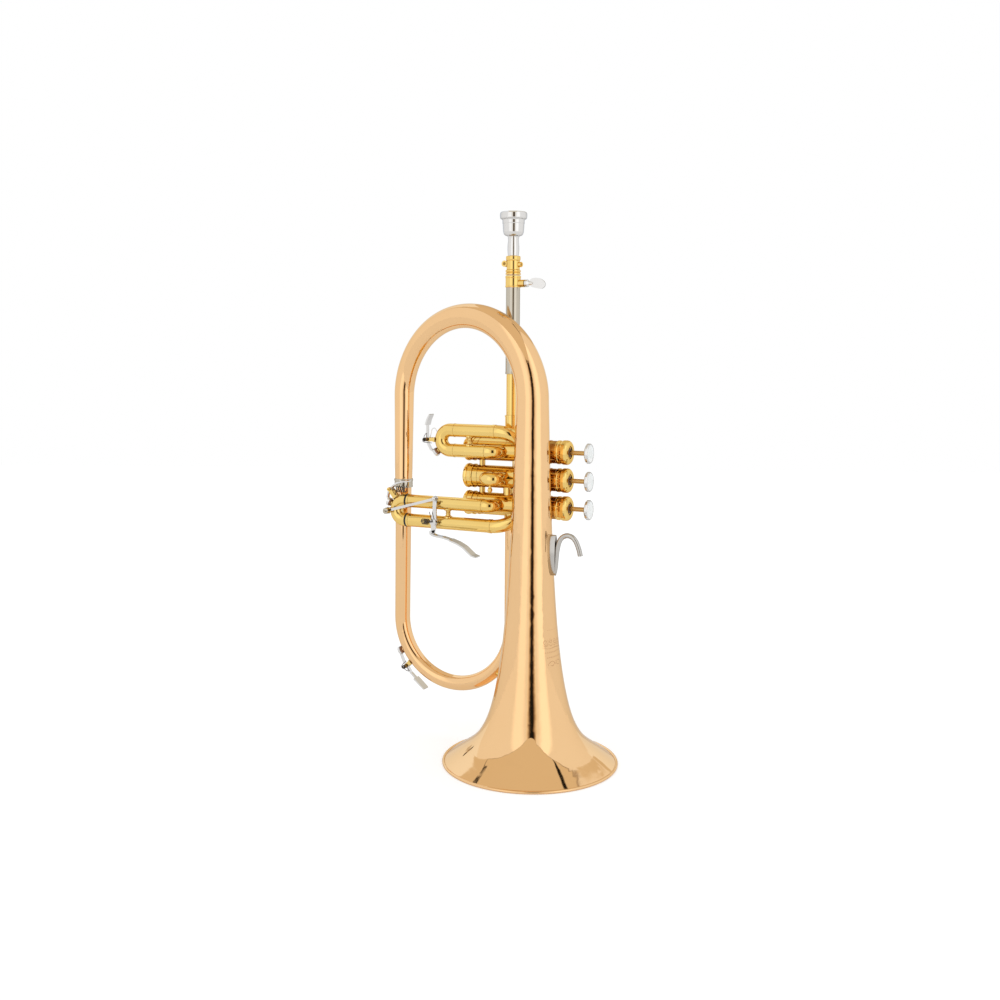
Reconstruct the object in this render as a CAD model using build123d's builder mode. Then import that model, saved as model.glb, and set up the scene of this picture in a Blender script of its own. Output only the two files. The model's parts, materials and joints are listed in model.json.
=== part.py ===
from build123d import *
import os
from math import cos, sin, radians, hypot, sqrt, pi

os.makedirs("parts", exist_ok=True)

# Flugelhorn standing on its bell rim. Millimetres, +Z up the bell axis,
# +X toward the finger buttons, +Y from the bell toward the valve block.

# ---------------------------------------------------------------- dimensions
bell_rim_r = 76.2
bell_throat_offset = 13.0
bell_exponent = 0.515
bell_wall = 0.7
bell_top_z = 313.6
bead_r = 1.25
wire_r = 0.84

valve_y = 31.0
valve_z = (267.0, 242.2, 217.4)
casing_r = 10.1
casing_bore_r = 8.4
casing_x0, casing_x1 = -70.0, 12.0
piston_r = 8.35
piston_travel = 14.4

bow_left_x = -147.0
top_bow_radii = (14.48, 13.9, 13.1, 12.2, 11.2, 10.5, 9.95, 9.5, 9.2)
bottom_bow_radius = 57.0
bottom_bow_cx, bottom_bow_cz = -90.0, 106.0
bow_wall = 0.55

slide_y = 13.3
sleeve_r = 6.0
sleeve_bore_r = 5.5
leg_r = 5.45
leg_bore_r = 5.0
first_z = (284.4, 266.0)
third_z = (217.2, 199.4)
first_crook_cx = -87.5
third_crook_cx = -134.9

lead_x = -33.8
screw_z = 418.0
lyre_x, lyre_z = lead_x - 7.6, 436.2
trigger_x, trigger_z = -99.0, 200.5
link_top = (-97.9, 221.9)
link_end = (-147.4, 208.3)


def bell_r(z):
    return bell_rim_r * ((z + bell_throat_offset) / bell_throat_offset) ** -bell_exponent


def polar(c, r, deg):
    return (c[0] + r * cos(radians(deg)), c[1] + r * sin(radians(deg)))


def strip(points, widths):
    """Outline of a bent bar: centre points and half widths."""
    left, right = [], []
    n = len(points)
    for i, (x, z) in enumerate(points):
        a = points[max(i - 1, 0)]
        b = points[min(i + 1, n - 1)]
        dx, dz = b[0] - a[0], b[1] - a[1]
        l = hypot(dx, dz)
        nx, nz = -dz / l, dx / l
        w = widths[i]
        left.append((x + nx * w, z + nz * w))
        right.append((x - nx * w, z - nz * w))
    return left + right[::-1]


def side_plane(y):
    """Sketch plane whose local axes are world X and Z, facing -Y."""
    return Plane(origin=(0, y, 0), x_dir=(1, 0, 0), z_dir=(0, -1, 0))


def x_plane(x, y, z):
    return Plane(origin=(x, y, z), x_dir=(0, 1, 0), z_dir=(1, 0, 0))


def save(part, label):
    part.label = label
    export_step(part, "parts/" + label + ".step")


# ---------------------------------------------------------------- bell
flare_points = [(75.6, 0.9), (70.6, 4.2), (64.7, 8.1), (58.7, 12.1), (52.8, 16.4), (47.3, 21.5),
                (42.3, 28.4), (38.0, 37.0), (34.5, 47.2)]


def bell_outer_points():
    zs = [60.0, 90.0, 130.0, 180.0, 245.0, bell_top_z]
    return flare_points + [(bell_r(z), z) for z in zs]


def bell_inner_points():
    pts = bell_outer_points()
    out = []
    for i, (r, z) in enumerate(pts):
        a, b = pts[max(i - 1, 0)], pts[min(i + 1, len(pts) - 1)]
        l = hypot(b[0] - a[0], b[1] - a[1])
        out.append((r - bell_wall * (b[1] - a[1]) / l, z + bell_wall * (b[0] - a[0]) / l))
    out[-1] = (out[-1][0], bell_top_z)
    return out


outer_pts = bell_outer_points()
inner_pts = bell_inner_points()

with BuildPart() as bell:
    with BuildSketch(Plane.XZ) as bell_section:
        with BuildLine() as bell_outline:
            Spline(*outer_pts)
            Line(outer_pts[-1], inner_pts[-1])
            Spline(*inner_pts)
            Line(inner_pts[0], outer_pts[0])
        make_face()
        with Locations((74.95, bead_r)):
            Circle(bead_r)
            Circle(wire_r + 0.02, mode=Mode.SUBTRACT)
    revolve(axis=Axis.Z)
save(bell.part, "bell")

with BuildPart() as bell_rim_wire:
    with BuildSketch(Plane.XZ):
        with Locations((74.95, bead_r)):
            Circle(wire_r)
    revolve(axis=Axis.Z)
save(bell_rim_wire.part, "bell_rim_wire")

# solid plug with the outer shape of the bell, used to seat feet on it
with BuildPart() as bell_plug:
    with BuildSketch(Plane.XZ):
        with BuildLine():
            Spline(*outer_pts)
            Polyline(outer_pts[-1], (0, bell_top_z), (0, 0.9), outer_pts[0])
        make_face()
    revolve(axis=Axis.Z)

# ---------------------------------------------------------------- top bow
span = hypot(bow_left_x, valve_y)
ux, uy = bow_left_x / span, valve_y / span
top_R = span / 2


def top_bow_plane(deg):
    a = radians(deg)
    s = top_R * (1 - cos(a))
    return Plane(
        origin=(ux * s, uy * s, bell_top_z + top_R * sin(a)),
        x_dir=(-uy, ux, 0),
        z_dir=(ux * sin(a), uy * sin(a), cos(a)),
    )


with BuildPart() as top_bow:
    for i, r in enumerate(top_bow_radii):
        with BuildSketch(top_bow_plane(22.5 * i)):
            Circle(r)
    loft()
    with BuildSketch(Plane(origin=(bow_left_x, valve_y, bell_top_z), z_dir=(0, 0, -1))):
        Circle(top_bow_radii[-1])
    with BuildSketch(Plane(origin=(bow_left_x, valve_y, 236), z_dir=(0, 0, -1))):
        Circle(8.2)
    loft()
    with BuildSketch(Plane(origin=(bow_left_x, valve_y, 236), z_dir=(0, 0, -1))):
        Circle(8.2)
    extrude(amount=6)
    for i, r in enumerate(top_bow_radii):
        with BuildSketch(top_bow_plane(22.5 * i)):
            Circle(r - bow_wall)
    loft(mode=Mode.SUBTRACT)
    with BuildSketch(Plane(origin=(bow_left_x, valve_y, bell_top_z), z_dir=(0, 0, -1))):
        Circle(top_bow_radii[-1] - bow_wall)
    with BuildSketch(Plane(origin=(bow_left_x, valve_y, 236), z_dir=(0, 0, -1))):
        Circle(8.2 - bow_wall)
    loft(mode=Mode.SUBTRACT)
    with BuildSketch(Plane(origin=(bow_left_x, valve_y, 236), z_dir=(0, 0, -1))):
        Circle(8.2 - bow_wall)
    extrude(amount=6, mode=Mode.SUBTRACT)
save(top_bow.part, "top_bow")

with BuildPart() as bow_ferrule:
    with BuildSketch(Plane(origin=(bow_left_x, valve_y, 0), x_dir=(1, 0, 0), z_dir=(0, -1, 0))):
        with BuildLine():
            Polyline(
                (7.5, 227.4), (8.5, 227.4), (8.8, 227.8), (8.8, 228.8), (8.6, 229.1),
                (8.6, 233.2), (9.0, 233.6), (9.0, 235.2), (8.7, 235.6), (8.2, 235.6),
                (8.2, 230.0), (7.5, 230.0), close=True,
            )
        make_face()
    revolve(axis=Axis((bow_left_x, valve_y, 0), (0, 0, 1)))
save(bow_ferrule.part, "bow_ferrule")

# ---------------------------------------------------------------- bottom bow
bottom_radii = (7.1, 7.0, 6.9, 6.8, 6.7, 6.65, 6.55, 6.5, 6.4)


def bottom_bow_plane(deg):
    a = radians(deg)
    return Plane(
        origin=(
            bottom_bow_cx - bottom_bow_radius * cos(a),
            valve_y,
            bottom_bow_cz - bottom_bow_radius * sin(a),
        ),
        x_dir=(0, 1, 0),
        z_dir=(sin(a), 0, -cos(a)),
    )


right_leg_x = bottom_bow_cx + bottom_bow_radius

with BuildPart() as bottom_bow:
    with BuildSketch(Plane(origin=(bow_left_x, valve_y, 230), z_dir=(0, 0, -1))):
        Circle(7.5)
    extrude(amount=6)
    with BuildSketch(Plane(origin=(bow_left_x, valve_y, 224), z_dir=(0, 0, -1))):
        Circle(7.5)
    with BuildSketch(Plane(origin=(bow_left_x, valve_y, bottom_bow_cz), z_dir=(0, 0, -1))):
        Circle(bottom_radii[0])
    loft()
    for i, r in enumerate(bottom_radii):
        with BuildSketch(bottom_bow_plane(22.5 * i)):
            Circle(r)
    loft()
    with BuildSketch(Plane(origin=(right_leg_x, valve_y, bottom_bow_cz), z_dir=(0, 0, 1))):
        Circle(bottom_radii[-1])
    extrude(amount=202 - bottom_bow_cz)
    # water-key nipple
    np_c = polar((bottom_bow_cx, bottom_bow_cz), 62.0, 210)
    with BuildSketch(Plane(origin=(np_c[0], valve_y, np_c[1]),
                           x_dir=(0, 1, 0),
                           z_dir=(cos(radians(210)), 0, sin(radians(210))))):
        Circle(2.3)
    extrude(amount=3.2)
    with BuildSketch(Plane(origin=(bow_left_x, valve_y, 230), z_dir=(0, 0, -1))):
        Circle(7.5 - bow_wall)
    extrude(amount=6, mode=Mode.SUBTRACT)
    with BuildSketch(Plane(origin=(bow_left_x, valve_y, 224), z_dir=(0, 0, -1))):
        Circle(7.5 - bow_wall)
    with BuildSketch(Plane(origin=(bow_left_x, valve_y, bottom_bow_cz), z_dir=(0, 0, -1))):
        Circle(bottom_radii[0] - bow_wall)
    loft(mode=Mode.SUBTRACT)
    for i, r in enumerate(bottom_radii):
        with BuildSketch(bottom_bow_plane(22.5 * i)):
            Circle(r - bow_wall)
    loft(mode=Mode.SUBTRACT)
    with BuildSketch(Plane(origin=(right_leg_x, valve_y, bottom_bow_cz), z_dir=(0, 0, 1))):
        Circle(bottom_radii[-1] - bow_wall)
    extrude(amount=202 - bottom_bow_cz, mode=Mode.SUBTRACT)
    with BuildSketch(Plane(origin=(np_c[0], valve_y, np_c[1]),
                           x_dir=(0, 1, 0),
                           z_dir=(cos(radians(210)), 0, sin(radians(210))))):
        Circle(1.3)
    extrude(amount=3.3, mode=Mode.SUBTRACT)
save(bottom_bow.part, "bottom_bow")

# ---------------------------------------------------------------- valve block
guide_x = -13.0
port_r = 5.3


def port_cut(origin, direction, r, length):
    with BuildSketch(Plane(origin=origin, z_dir=direction)) as sk1:
        Circle(r)
    extrude(sk1.sketch, amount=length, mode=Mode.SUBTRACT)


# side ports: point outside the casing and inward direction, per valve
casing_ports = {
    0: [((lead_x, valve_y, 279), (0, 0, -1)), ((-41.5, 19, valve_z[0]), (0, 1, 0)),
        ((-20.5, 22.0, 275.2), (0, 0.74, -0.67)), ((-28, valve_y, 256), (0, 0, 1))],
    1: [((-28, valve_y, 253.5), (0, 0, -1)), ((-37.5, 19, valve_z[1]), (0, 1, 0)),
        ((-50.5, 19, valve_z[1]), (0, 1, 0)), ((-37, valve_y, 231), (0, 0, 1))],
    2: [((-37, valve_y, 228.6), (0, 0, -1)), ((-43.5, 19, valve_z[2]), (0, 1, 0)),
        ((-20.5, 22.0, 209.2), (0, 0.74, 0.67)), ((right_leg_x, valve_y, 205), (0, 0, 1))],
}

casings = []
for i, z in enumerate(valve_z):
    with BuildPart() as casing:
        with BuildSketch(x_plane(casing_x0, valve_y, z)):
            Circle(casing_r)
        extrude(amount=casing_x1 - casing_x0)
        with BuildSketch(x_plane(-76.5, valve_y, z)):
            Circle(9.6)
        extrude(amount=96.5)
        # turned rings near both ends of the tube
        for rx in (-66.0, 4.0):
            with BuildSketch(x_plane(rx, valve_y, z)):
                Circle(casing_r + 0.35)
            extrude(amount=1.2)
        with BuildSketch(x_plane(-77, valve_y, z)):
            Circle(casing_bore_r)
        extrude(amount=98, mode=Mode.SUBTRACT)
        for origin, direction in casing_ports[i]:
            r = 4.0 if abs(origin[0] + 28) < 0.1 or abs(origin[0] + 37) < 0.1 else port_r
            if i == 1 and direction[1] == 1:
                r = 4.9
            port_cut(origin, direction, r, 9.0)
        with BuildSketch(Plane(origin=(guide_x, valve_y + 6, z), z_dir=(0, 1, 0))):
            Circle(1.0)
        extrude(amount=6, mode=Mode.SUBTRACT)
    casings.append(casing)
    save(casing.part, "valve_casing_%d" % (i + 1))

with BuildPart() as valve_guides:
    for z in valve_z:
        with BuildSketch(Plane(origin=(guide_x, valve_y + 7.3, z), z_dir=(0, 1, 0))):
            Circle(1.0)
        extrude(amount=casing_r - 7.3 + 0.2)
        with BuildSketch(Plane(origin=(guide_x, valve_y + casing_r, z), z_dir=(0, 1, 0))):
            Circle(1.7)
        extrude(amount=0.9)
save(valve_guides.part, "valve_guides")

with BuildPart() as bottom_valve_caps:
    for z in valve_z:
        with BuildSketch(side_plane(valve_y)):
            with BuildLine():
                Polyline(
                    (-79.5, z), (-79.5, z + 8.6), (-79.0, z + 10.0), (-78.2, z + 10.9),
                    (-76.8, z + 11.2), (-75.4, z + 10.9), (-75.0, z + 10.5), (-71.6, z + 10.5),
                    (-71.2, z + 10.9), (-70.2, z + 10.9), (-70.0, z + 10.7), (-70.0, z + 9.6),
                    (-78.0, z + 9.6), (-78.0, z + 3.0), (-78.6, z + 2.0), (-78.6, z), close=True,
                )
            make_face()
        revolve(axis=Axis((0, valve_y, z), (1, 0, 0)))
        with BuildSketch(x_plane(-80, valve_y, z)):
            Circle(1.6)
        extrude(amount=2.5, mode=Mode.SUBTRACT)
save(bottom_valve_caps.part, "bottom_valve_caps")

with BuildPart() as top_valve_caps:
    for z in valve_z:
        with BuildSketch(side_plane(valve_y)):
            with BuildLine():
                Polyline(
                    (12.0, z + 9.6), (12.0, z + 10.4), (12.3, z + 10.6), (14.0, z + 10.6),
                    (14.4, z + 10.2), (16.2, z + 10.2), (16.7, z + 10.6), (17.8, z + 10.9),
                    (20.6, z + 10.9), (21.8, z + 10.6), (22.8, z + 9.9), (23.5, z + 8.9),
                    (23.8, z + 7.8), (23.8, z + 6.3), (23.3, z + 5.6), (22.2, z + 5.4),
                    (22.0, z + 5.0), (22.0, z + 2.3), (20.0, z + 2.3),
                    (20.0, z + 9.6), close=True,
                )
            make_face()
        revolve(axis=Axis((0, valve_y, z), (1, 0, 0)))
save(top_valve_caps.part, "top_valve_caps")

with BuildPart() as cap_felts:
    for z in valve_z:
        with BuildSketch(x_plane(18.0, valve_y, z)):
            Circle(7.4)
            Circle(2.4, mode=Mode.SUBTRACT)
        extrude(amount=2.0)
save(cap_felts.part, "cap_felts")

piston_x0, piston_x1 = -52.0, 3.0
for i, z in enumerate(valve_z):
    with BuildPart() as piston:
        with BuildSketch(x_plane(piston_x0, valve_y, z)):
            Circle(piston_r)
        extrude(amount=piston_x1 - piston_x0)
        chamfer(piston.edges().filter_by(GeomType.CIRCLE), 0.4)
        # spring seat in the foot
        with BuildSketch(x_plane(piston_x0, valve_y, z)):
            Circle(6.6)
        extrude(amount=4.0, mode=Mode.SUBTRACT)
        # upper barrel up to the felt
        with BuildSketch(x_plane(piston_x1, valve_y, z)):
            Circle(6.4)
        extrude(amount=14.9)
        with BuildSketch(x_plane(17.9, valve_y, z)):
            Circle(2.1)
        extrude(amount=20.6)
        # passages
        for px, d in ((-41.5, (0, 1, 0)), (-22.0, (0, 0.74, -0.67)), (-9.5, (0, 0.5, 0.87))):
            with BuildSketch(Plane(origin=(px, valve_y - 12 * d[1], z - 12 * d[2]), z_dir=d)):
                Circle(5.0)
            extrude(amount=24 if px == -41.5 else 13.5, mode=Mode.SUBTRACT)
        # guide groove, open at the top
        with Locations((0.5 * (guide_x - 1.2 + piston_x1 + 0.5), valve_y + piston_r, z)):
            Box(piston_x1 + 0.5 - guide_x + 1.2, 3.0, 2.3, mode=Mode.SUBTRACT)
    save(piston.part, "piston_%d" % (i + 1))

    with BuildPart() as finger_button:
        with BuildSketch(side_plane(valve_y)):
            with BuildLine():
                Polyline(
                    (38.5, z), (38.5, z + 2.9), (38.9, z + 3.3), (39.0, z + 6.6),
                    (39.4, z + 8.3), (40.0, z + 8.85), (41.8, z + 8.85), (42.4, z + 8.4),
                    (42.4, z + 7.7), (41.3, z + 7.7), (41.3, z), close=True,
                )
            make_face()
        revolve(axis=Axis((0, valve_y, z), (1, 0, 0)))
    save(finger_button.part, "finger_button_%d" % (i + 1))

    with BuildPart() as button_pearl:
        with BuildSketch(side_plane(valve_y)):
            with BuildLine():
                Polyline((41.3, z), (41.3, z + 7.7), (42.3, z + 7.7), (42.7, z + 6.0),
                         (42.95, z + 3.5), (43.0, z), close=True)
            make_face()
        revolve(axis=Axis((0, valve_y, z), (1, 0, 0)))
    save(button_pearl.part, "button_pearl_%d" % (i + 1))

    with BuildPart() as valve_spring:
        with BuildLine() as coil:
            Helix(pitch=3.625, height=29.0, radius=5.6, center=(-77.5, valve_y, z), direction=(1, 0, 0))
        with BuildSketch(Plane(origin=coil.line @ 0, z_dir=coil.line % 0)):
            Circle(0.42)
        sweep(path=coil.wires()[0], is_frenet=True)
    save(valve_spring.part, "valve_spring_%d" % (i + 1))

with BuildPart() as intervalve_tubes:
    for x, z in ((-28.0, 254.6), (-37.0, 229.8)):
        with BuildSketch(Plane(origin=(x, valve_y, z - 6), z_dir=(0, 0, 1))):
            Circle(4.8)
            Circle(4.0, mode=Mode.SUBTRACT)
        extrude(amount=12)
    for z in valve_z:
        with BuildSketch(x_plane(-60, valve_y, z)):
            Circle(casing_r)
        extrude(amount=60, mode=Mode.SUBTRACT)
save(intervalve_tubes.part, "intervalve_tubes")

with BuildPart() as casing_posts:
    for z in (254.6, 229.8):
        for x in (-63.5, 0.0):
            with BuildSketch(Plane(origin=(x, valve_y, z - 4), z_dir=(0, 0, 1))):
                Circle(2.7)
            extrude(amount=8)
    for z in valve_z:
        with BuildSketch(x_plane(-67, valve_y, z)):
            Circle(casing_r)
        extrude(amount=73, mode=Mode.SUBTRACT)
        # clear of the turned ring
        with BuildSketch(x_plane(-66.5, valve_y, z)):
            Circle(casing_r + 0.4)
        extrude(amount=1.8, mode=Mode.SUBTRACT)
save(casing_posts.part, "casing_posts")

with BuildPart() as valve_ferrules:
    for x, z0, z1, tz in ((lead_x, 270.0, 298.7, 290.0), (right_leg_x, 196.0, 214.0, 202.0)):
        with BuildSketch(Plane(origin=(x, valve_y, z0), z_dir=(0, 0, 1))):
            Circle(6.3 if x == lead_x else 7.2)
        extrude(amount=z1 - z0)
        with BuildSketch(Plane(origin=(x, valve_y, z0), z_dir=(0, 0, 1))):
            Circle(4.9 if x == lead_x else bottom_radii[-1] - bow_wall)
        extrude(amount=z1 - z0, mode=Mode.SUBTRACT)
    with BuildSketch(Plane(origin=(lead_x, valve_y, 290), z_dir=(0, 0, 1))):
        Circle(5.4)
    extrude(amount=9, mode=Mode.SUBTRACT)
    with BuildSketch(Plane(origin=(right_leg_x, valve_y, 190), z_dir=(0, 0, 1))):
        Circle(bottom_radii[-1])
    extrude(amount=12, mode=Mode.SUBTRACT)
    # rounded collar at the mouth of the leadpipe ferrule
    with BuildSketch(Plane(origin=(lead_x, valve_y, 297.0), z_dir=(0, 0, 1))):
        Circle(6.6)
        Circle(5.4, mode=Mode.SUBTRACT)
    extrude(amount=1.7)
    for z in valve_z:
        with BuildSketch(x_plane(-60, valve_y, z)):
            Circle(casing_r)
        extrude(amount=60, mode=Mode.SUBTRACT)
save(valve_ferrules.part, "valve_ferrules")

# ---------------------------------------------------------------- leadpipe
lead_axis = Axis((lead_x, valve_y, 0), (0, 0, 1))
lead_plane = Plane(origin=(lead_x, valve_y, 0), x_dir=(1, 0, 0), z_dir=(0, -1, 0))


def turned(points):
    with BuildSketch(lead_plane) as sk2:
        with BuildLine():
            Polyline(*points, close=True)
        make_face()
    revolve(sk2.sketch, axis=lead_axis)


with BuildPart() as leadpipe_lower:
    turned([(4.9, 290), (5.4, 290), (5.4, 344), (4.9, 344)])
save(leadpipe_lower.part, "leadpipe_lower")

with BuildPart() as leadpipe_sleeve:
    turned([(5.4, 336), (6.3, 336), (6.6, 336.4), (6.6, 337.6), (6.4, 338), (6.4, 411.6),
            (6.4, 425.4), (5.6, 425.4), (5.6, 344), (5.4, 344)])
save(leadpipe_sleeve.part, "leadpipe_sleeve")

with BuildPart() as leadpipe_clamp:
    turned([(6.4, 414.4), (6.8, 414.4), (7.1, 414.9), (7.1, 415.9), (6.85, 416.2), (6.85, 422.8),
            (7.1, 423.2), (7.1, 424.6), (6.8, 425.1), (6.4, 425.1)])
    with BuildSketch(x_plane(lead_x + 6.0, valve_y, screw_z)):
        Circle(3.4)
    extrude(amount=5.6)
    with BuildSketch(Plane(origin=(lead_x, valve_y, 411), z_dir=(0, 0, 1))):
        Circle(6.4)
    extrude(amount=15.5, mode=Mode.SUBTRACT)
    with BuildSketch(x_plane(lead_x + 5.0, valve_y, screw_z)):
        Circle(1.65)
    extrude(amount=9, mode=Mode.SUBTRACT)
save(leadpipe_clamp.part, "leadpipe_clamp")

with BuildPart() as clamp_thumbscrew:
    with BuildSketch(x_plane(lead_x + 6.5, valve_y, screw_z)):
        Circle(1.6)
    extrude(amount=8.0)
    with BuildSketch(side_plane(valve_y)):
        with BuildLine():
            sx = lead_x + 11.8
            Polyline((sx, screw_z), (sx, screw_z + 3.0), (sx + 0.5, screw_z + 3.4),
                     (sx + 2.8, screw_z + 3.4), (sx + 3.3, screw_z + 2.9), (sx + 4.2, screw_z + 1.9),
                     (sx + 8.0, screw_z + 1.2), (sx + 8.0, screw_z), close=True)
        make_face()
    revolve(axis=Axis((0, valve_y, screw_z), (1, 0, 0)))
    with BuildSketch(side_plane(valve_y)):
        with BuildLine():
            Spline((sx + 3.6, screw_z + 1.5), (sx + 6.4, screw_z + 3.9), (sx + 12.0, screw_z + 4.8),
                   (sx + 17.4, screw_z + 2.8), (sx + 20.2, screw_z - 1.4), (sx + 18.2, screw_z - 4.4),
                   (sx + 12.0, screw_z - 4.6), (sx + 6.8, screw_z - 3.2), (sx + 3.6, screw_z - 1.5))
            Line((sx + 3.6, screw_z - 1.5), (sx + 3.6, screw_z + 1.5))
        make_face()
    extrude(amount=0.8, both=True)
save(clamp_thumbscrew.part, "clamp_thumbscrew")

with BuildPart() as leadpipe_inner:
    turned([(5.0, 352), (5.55, 352), (5.55, 433.5), (5.0, 433.5)])
save(leadpipe_inner.part, "leadpipe_inner")

with BuildPart() as mouthpiece_receiver:
    turned([(5.55, 425.9), (6.7, 425.9), (6.95, 426.3), (6.95, 427.3), (6.5, 427.7), (6.3, 428.0),
            (6.5, 428.4), (6.95, 428.8), (6.95, 429.8), (6.6, 430.2), (6.0, 430.6), (6.0, 438.6),
            (6.3, 439.0), (6.6, 439.8), (6.6, 442.4), (6.2, 442.9), (4.82, 442.9), (4.60, 433.5),
            (5.55, 433.5)])
    # round lyre boss on the left, drilled from front to back, and a small boss on the right
    with BuildSketch(side_plane(valve_y - 2.9)):
        with Locations((lyre_x, lyre_z)):
            Circle(2.85)
    extrude(amount=-5.8)
    with BuildSketch(x_plane(lead_x + 5.0, valve_y, 435.2)):
        Circle(2.4)
    extrude(amount=3.4)
    with BuildSketch(x_plane(lead_x + 8.4, valve_y, 435.2)):
        Circle(1.3)
    extrude(amount=0.8)
    with BuildSketch(Plane(origin=(lead_x, valve_y, 424), z_dir=(0, 0, 1))):
        Circle(5.55)
    extrude(amount=9.5, mode=Mode.SUBTRACT)
    with BuildSketch(Plane(origin=(lead_x, valve_y, 433.5), z_dir=(0, 0, 1))):
        Circle(4.6)
    extrude(amount=9.6, mode=Mode.SUBTRACT)
    with BuildSketch(side_plane(valve_y - 6.0)):
        with Locations((lyre_x, lyre_z)):
            Circle(1.4)
    extrude(amount=-11.0, mode=Mode.SUBTRACT)
save(mouthpiece_receiver.part, "mouthpiece_receiver")

with BuildPart() as mouthpiece:
    with BuildSketch(lead_plane):
        with BuildLine():
            Polyline((2.3, 424.6), (3.9, 424.6), (4.58, 433.6), (4.78, 443.0), (4.95, 444.0),
                     (5.2, 446.0), (5.35, 448.5), (5.35, 452.0), (5.1, 454.4), (4.95, 456.0),
                     (4.9, 458.4), (5.0, 459.6), (5.3, 460.8), (6.2, 461.2), (7.4, 461.6),
                     (8.3, 462.3), (8.9, 463.2), (9.3, 464.6), (9.5, 466.0), (9.75, 470.5),
                     (9.8, 472.0), (10.1, 472.6), (10.1, 475.4), (10.6, 476.2), (11.6, 476.6),
                     (12.2, 477.4), (12.45, 479.5), (12.3, 481.6), (11.9, 482.4), (11.4, 482.8),
                     (10.4, 483.0), (9.4, 482.6), (8.6, 481.4), (8.2, 479.0), (7.6, 474.0),
                     (6.0, 467.6), (3.6, 462.2), (1.9, 457.6), (1.9, 454.6), (2.3, 440.0), close=True)
        make_face()
    revolve(axis=lead_axis)
save(mouthpiece.part, "mouthpiece")

# ---------------------------------------------------------------- slides
def x_tube(x0, x1, y, z, ro, ri):
    with BuildSketch(x_plane(x0, y, z)) as sk3:
        Circle(ro)
        Circle(ri, mode=Mode.SUBTRACT)
    extrude(sk3.sketch, amount=x1 - x0)


def u_crook(cx, x_start, zs, y, ro, ri, filled=False):
    zc = (zs[0] + zs[1]) / 2
    R = (zs[0] - zs[1]) / 2
    with BuildLine() as path:
        Line((x_start, y, zs[0]), (cx, y, zs[0]))
        ThreePointArc((cx, y, zs[0]), (cx - R, y, zc), (cx, y, zs[1]))
        Line((cx, y, zs[1]), (x_start, y, zs[1]))
    with BuildSketch(Plane(origin=(x_start, y, zs[0]), x_dir=(0, 1, 0), z_dir=(-1, 0, 0))) as sk4:
        Circle(ro)
        if not filled:
            Circle(ri, mode=Mode.SUBTRACT)
    sweep(sk4.sketch, path=path.wires()[0])


first_c = (first_crook_cx, (first_z[0] + first_z[1]) / 2)
third_c = (third_crook_cx, (third_z[0] + third_z[1]) / 2)
crook_out = (first_z[0] - first_z[1]) / 2 + sleeve_r
third_out = (third_z[0] - third_z[1]) / 2 + sleeve_r

with BuildPart() as first_slide_sleeves:
    for z, x1 in ((first_z[0], -41.3), (first_z[1], -51.1)):
        x_tube(-83.6, x1, slide_y, z, sleeve_r, sleeve_bore_r)
        x_tube(-83.6, -82.4, slide_y, z, sleeve_r + 0.2, sleeve_bore_r)
        x_tube(x1 - 3.0, x1, slide_y, z, sleeve_r + 0.3, sleeve_bore_r)
save(first_slide_sleeves.part, "first_slide_sleeves")

with BuildPart() as third_slide_sleeves:
    for z, x1 in ((third_z[0], -53.7), (third_z[1], -44.6)):
        x_tube(-131.0, x1, slide_y, z, sleeve_r, sleeve_bore_r)
        x_tube(-131.0, -129.2, slide_y, z, sleeve_r + 0.25, sleeve_bore_r)
        x_tube(x1 - 3.0, x1, slide_y, z, sleeve_r + 0.3, sleeve_bore_r)
save(third_slide_sleeves.part, "third_slide_sleeves")


def elbow(x0, z):
    with BuildLine() as path:
        Line((x0, slide_y, z), (x0 + 1.5, slide_y, z))
        ThreePointArc(
            (x0 + 1.5, slide_y, z),
            (x0 + 1.5 + 9.0 * sin(pi / 4), slide_y + 9.0 * (1 - cos(pi / 4)), z),
            (x0 + 10.5, slide_y + 9.0, z))
        Line((x0 + 10.5, slide_y + 9.0, z), (x0 + 10.5, slide_y + 11.0, z))
    with BuildSketch(Plane(origin=(x0, slide_y, z), x_dir=(0, 1, 0), z_dir=(1, 0, 0))) as sk5:
        Circle(6.0)
        Circle(5.3, mode=Mode.SUBTRACT)
    sweep(sk5.sketch, path=path.wires()[0])


def knuckle(x0, z0, z1, dz):
    with BuildLine() as path:
        Spline((x0, slide_y, z0), (x0 + 12.5, slide_y + 2.3, z0 + 0.17 * (z1 - z0)), (-20.5, 27.2, z1),
               tangents=((1, 0, 0), (0.12, 0.74, dz)))
    with BuildSketch(Plane(origin=(x0, slide_y, z0), x_dir=(0, 1, 0), z_dir=(1, 0, 0))) as sk6:
        Circle(6.0)
        Circle(5.3, mode=Mode.SUBTRACT)
    sweep(sk6.sketch, path=path.wires()[0])


with BuildPart() as first_slide_knuckles:
    elbow(-51.1, first_z[1])
    knuckle(-41.3, first_z[0], 271.5, -0.67)
    with BuildSketch(x_plane(-75, valve_y, valve_z[0])):
        Circle(casing_r)
    extrude(amount=80, mode=Mode.SUBTRACT)
save(first_slide_knuckles.part, "first_slide_knuckles")

with BuildPart() as third_slide_knuckles:
    elbow(-53.7, third_z[0])
    knuckle(-44.6, third_z[1], 212.9, 0.67)
    with BuildSketch(x_plane(-75, valve_y, valve_z[2])):
        Circle(casing_r)
    extrude(amount=80, mode=Mode.SUBTRACT)
save(third_slide_knuckles.part, "third_slide_knuckles")

with BuildPart() as first_slide_legs:
    x_tube(-83.7, -45.0, slide_y, first_z[0], leg_r, leg_bore_r)
    x_tube(-83.7, -55.0, slide_y, first_z[1], leg_r, leg_bore_r)
save(first_slide_legs.part, "first_slide_legs")

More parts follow.
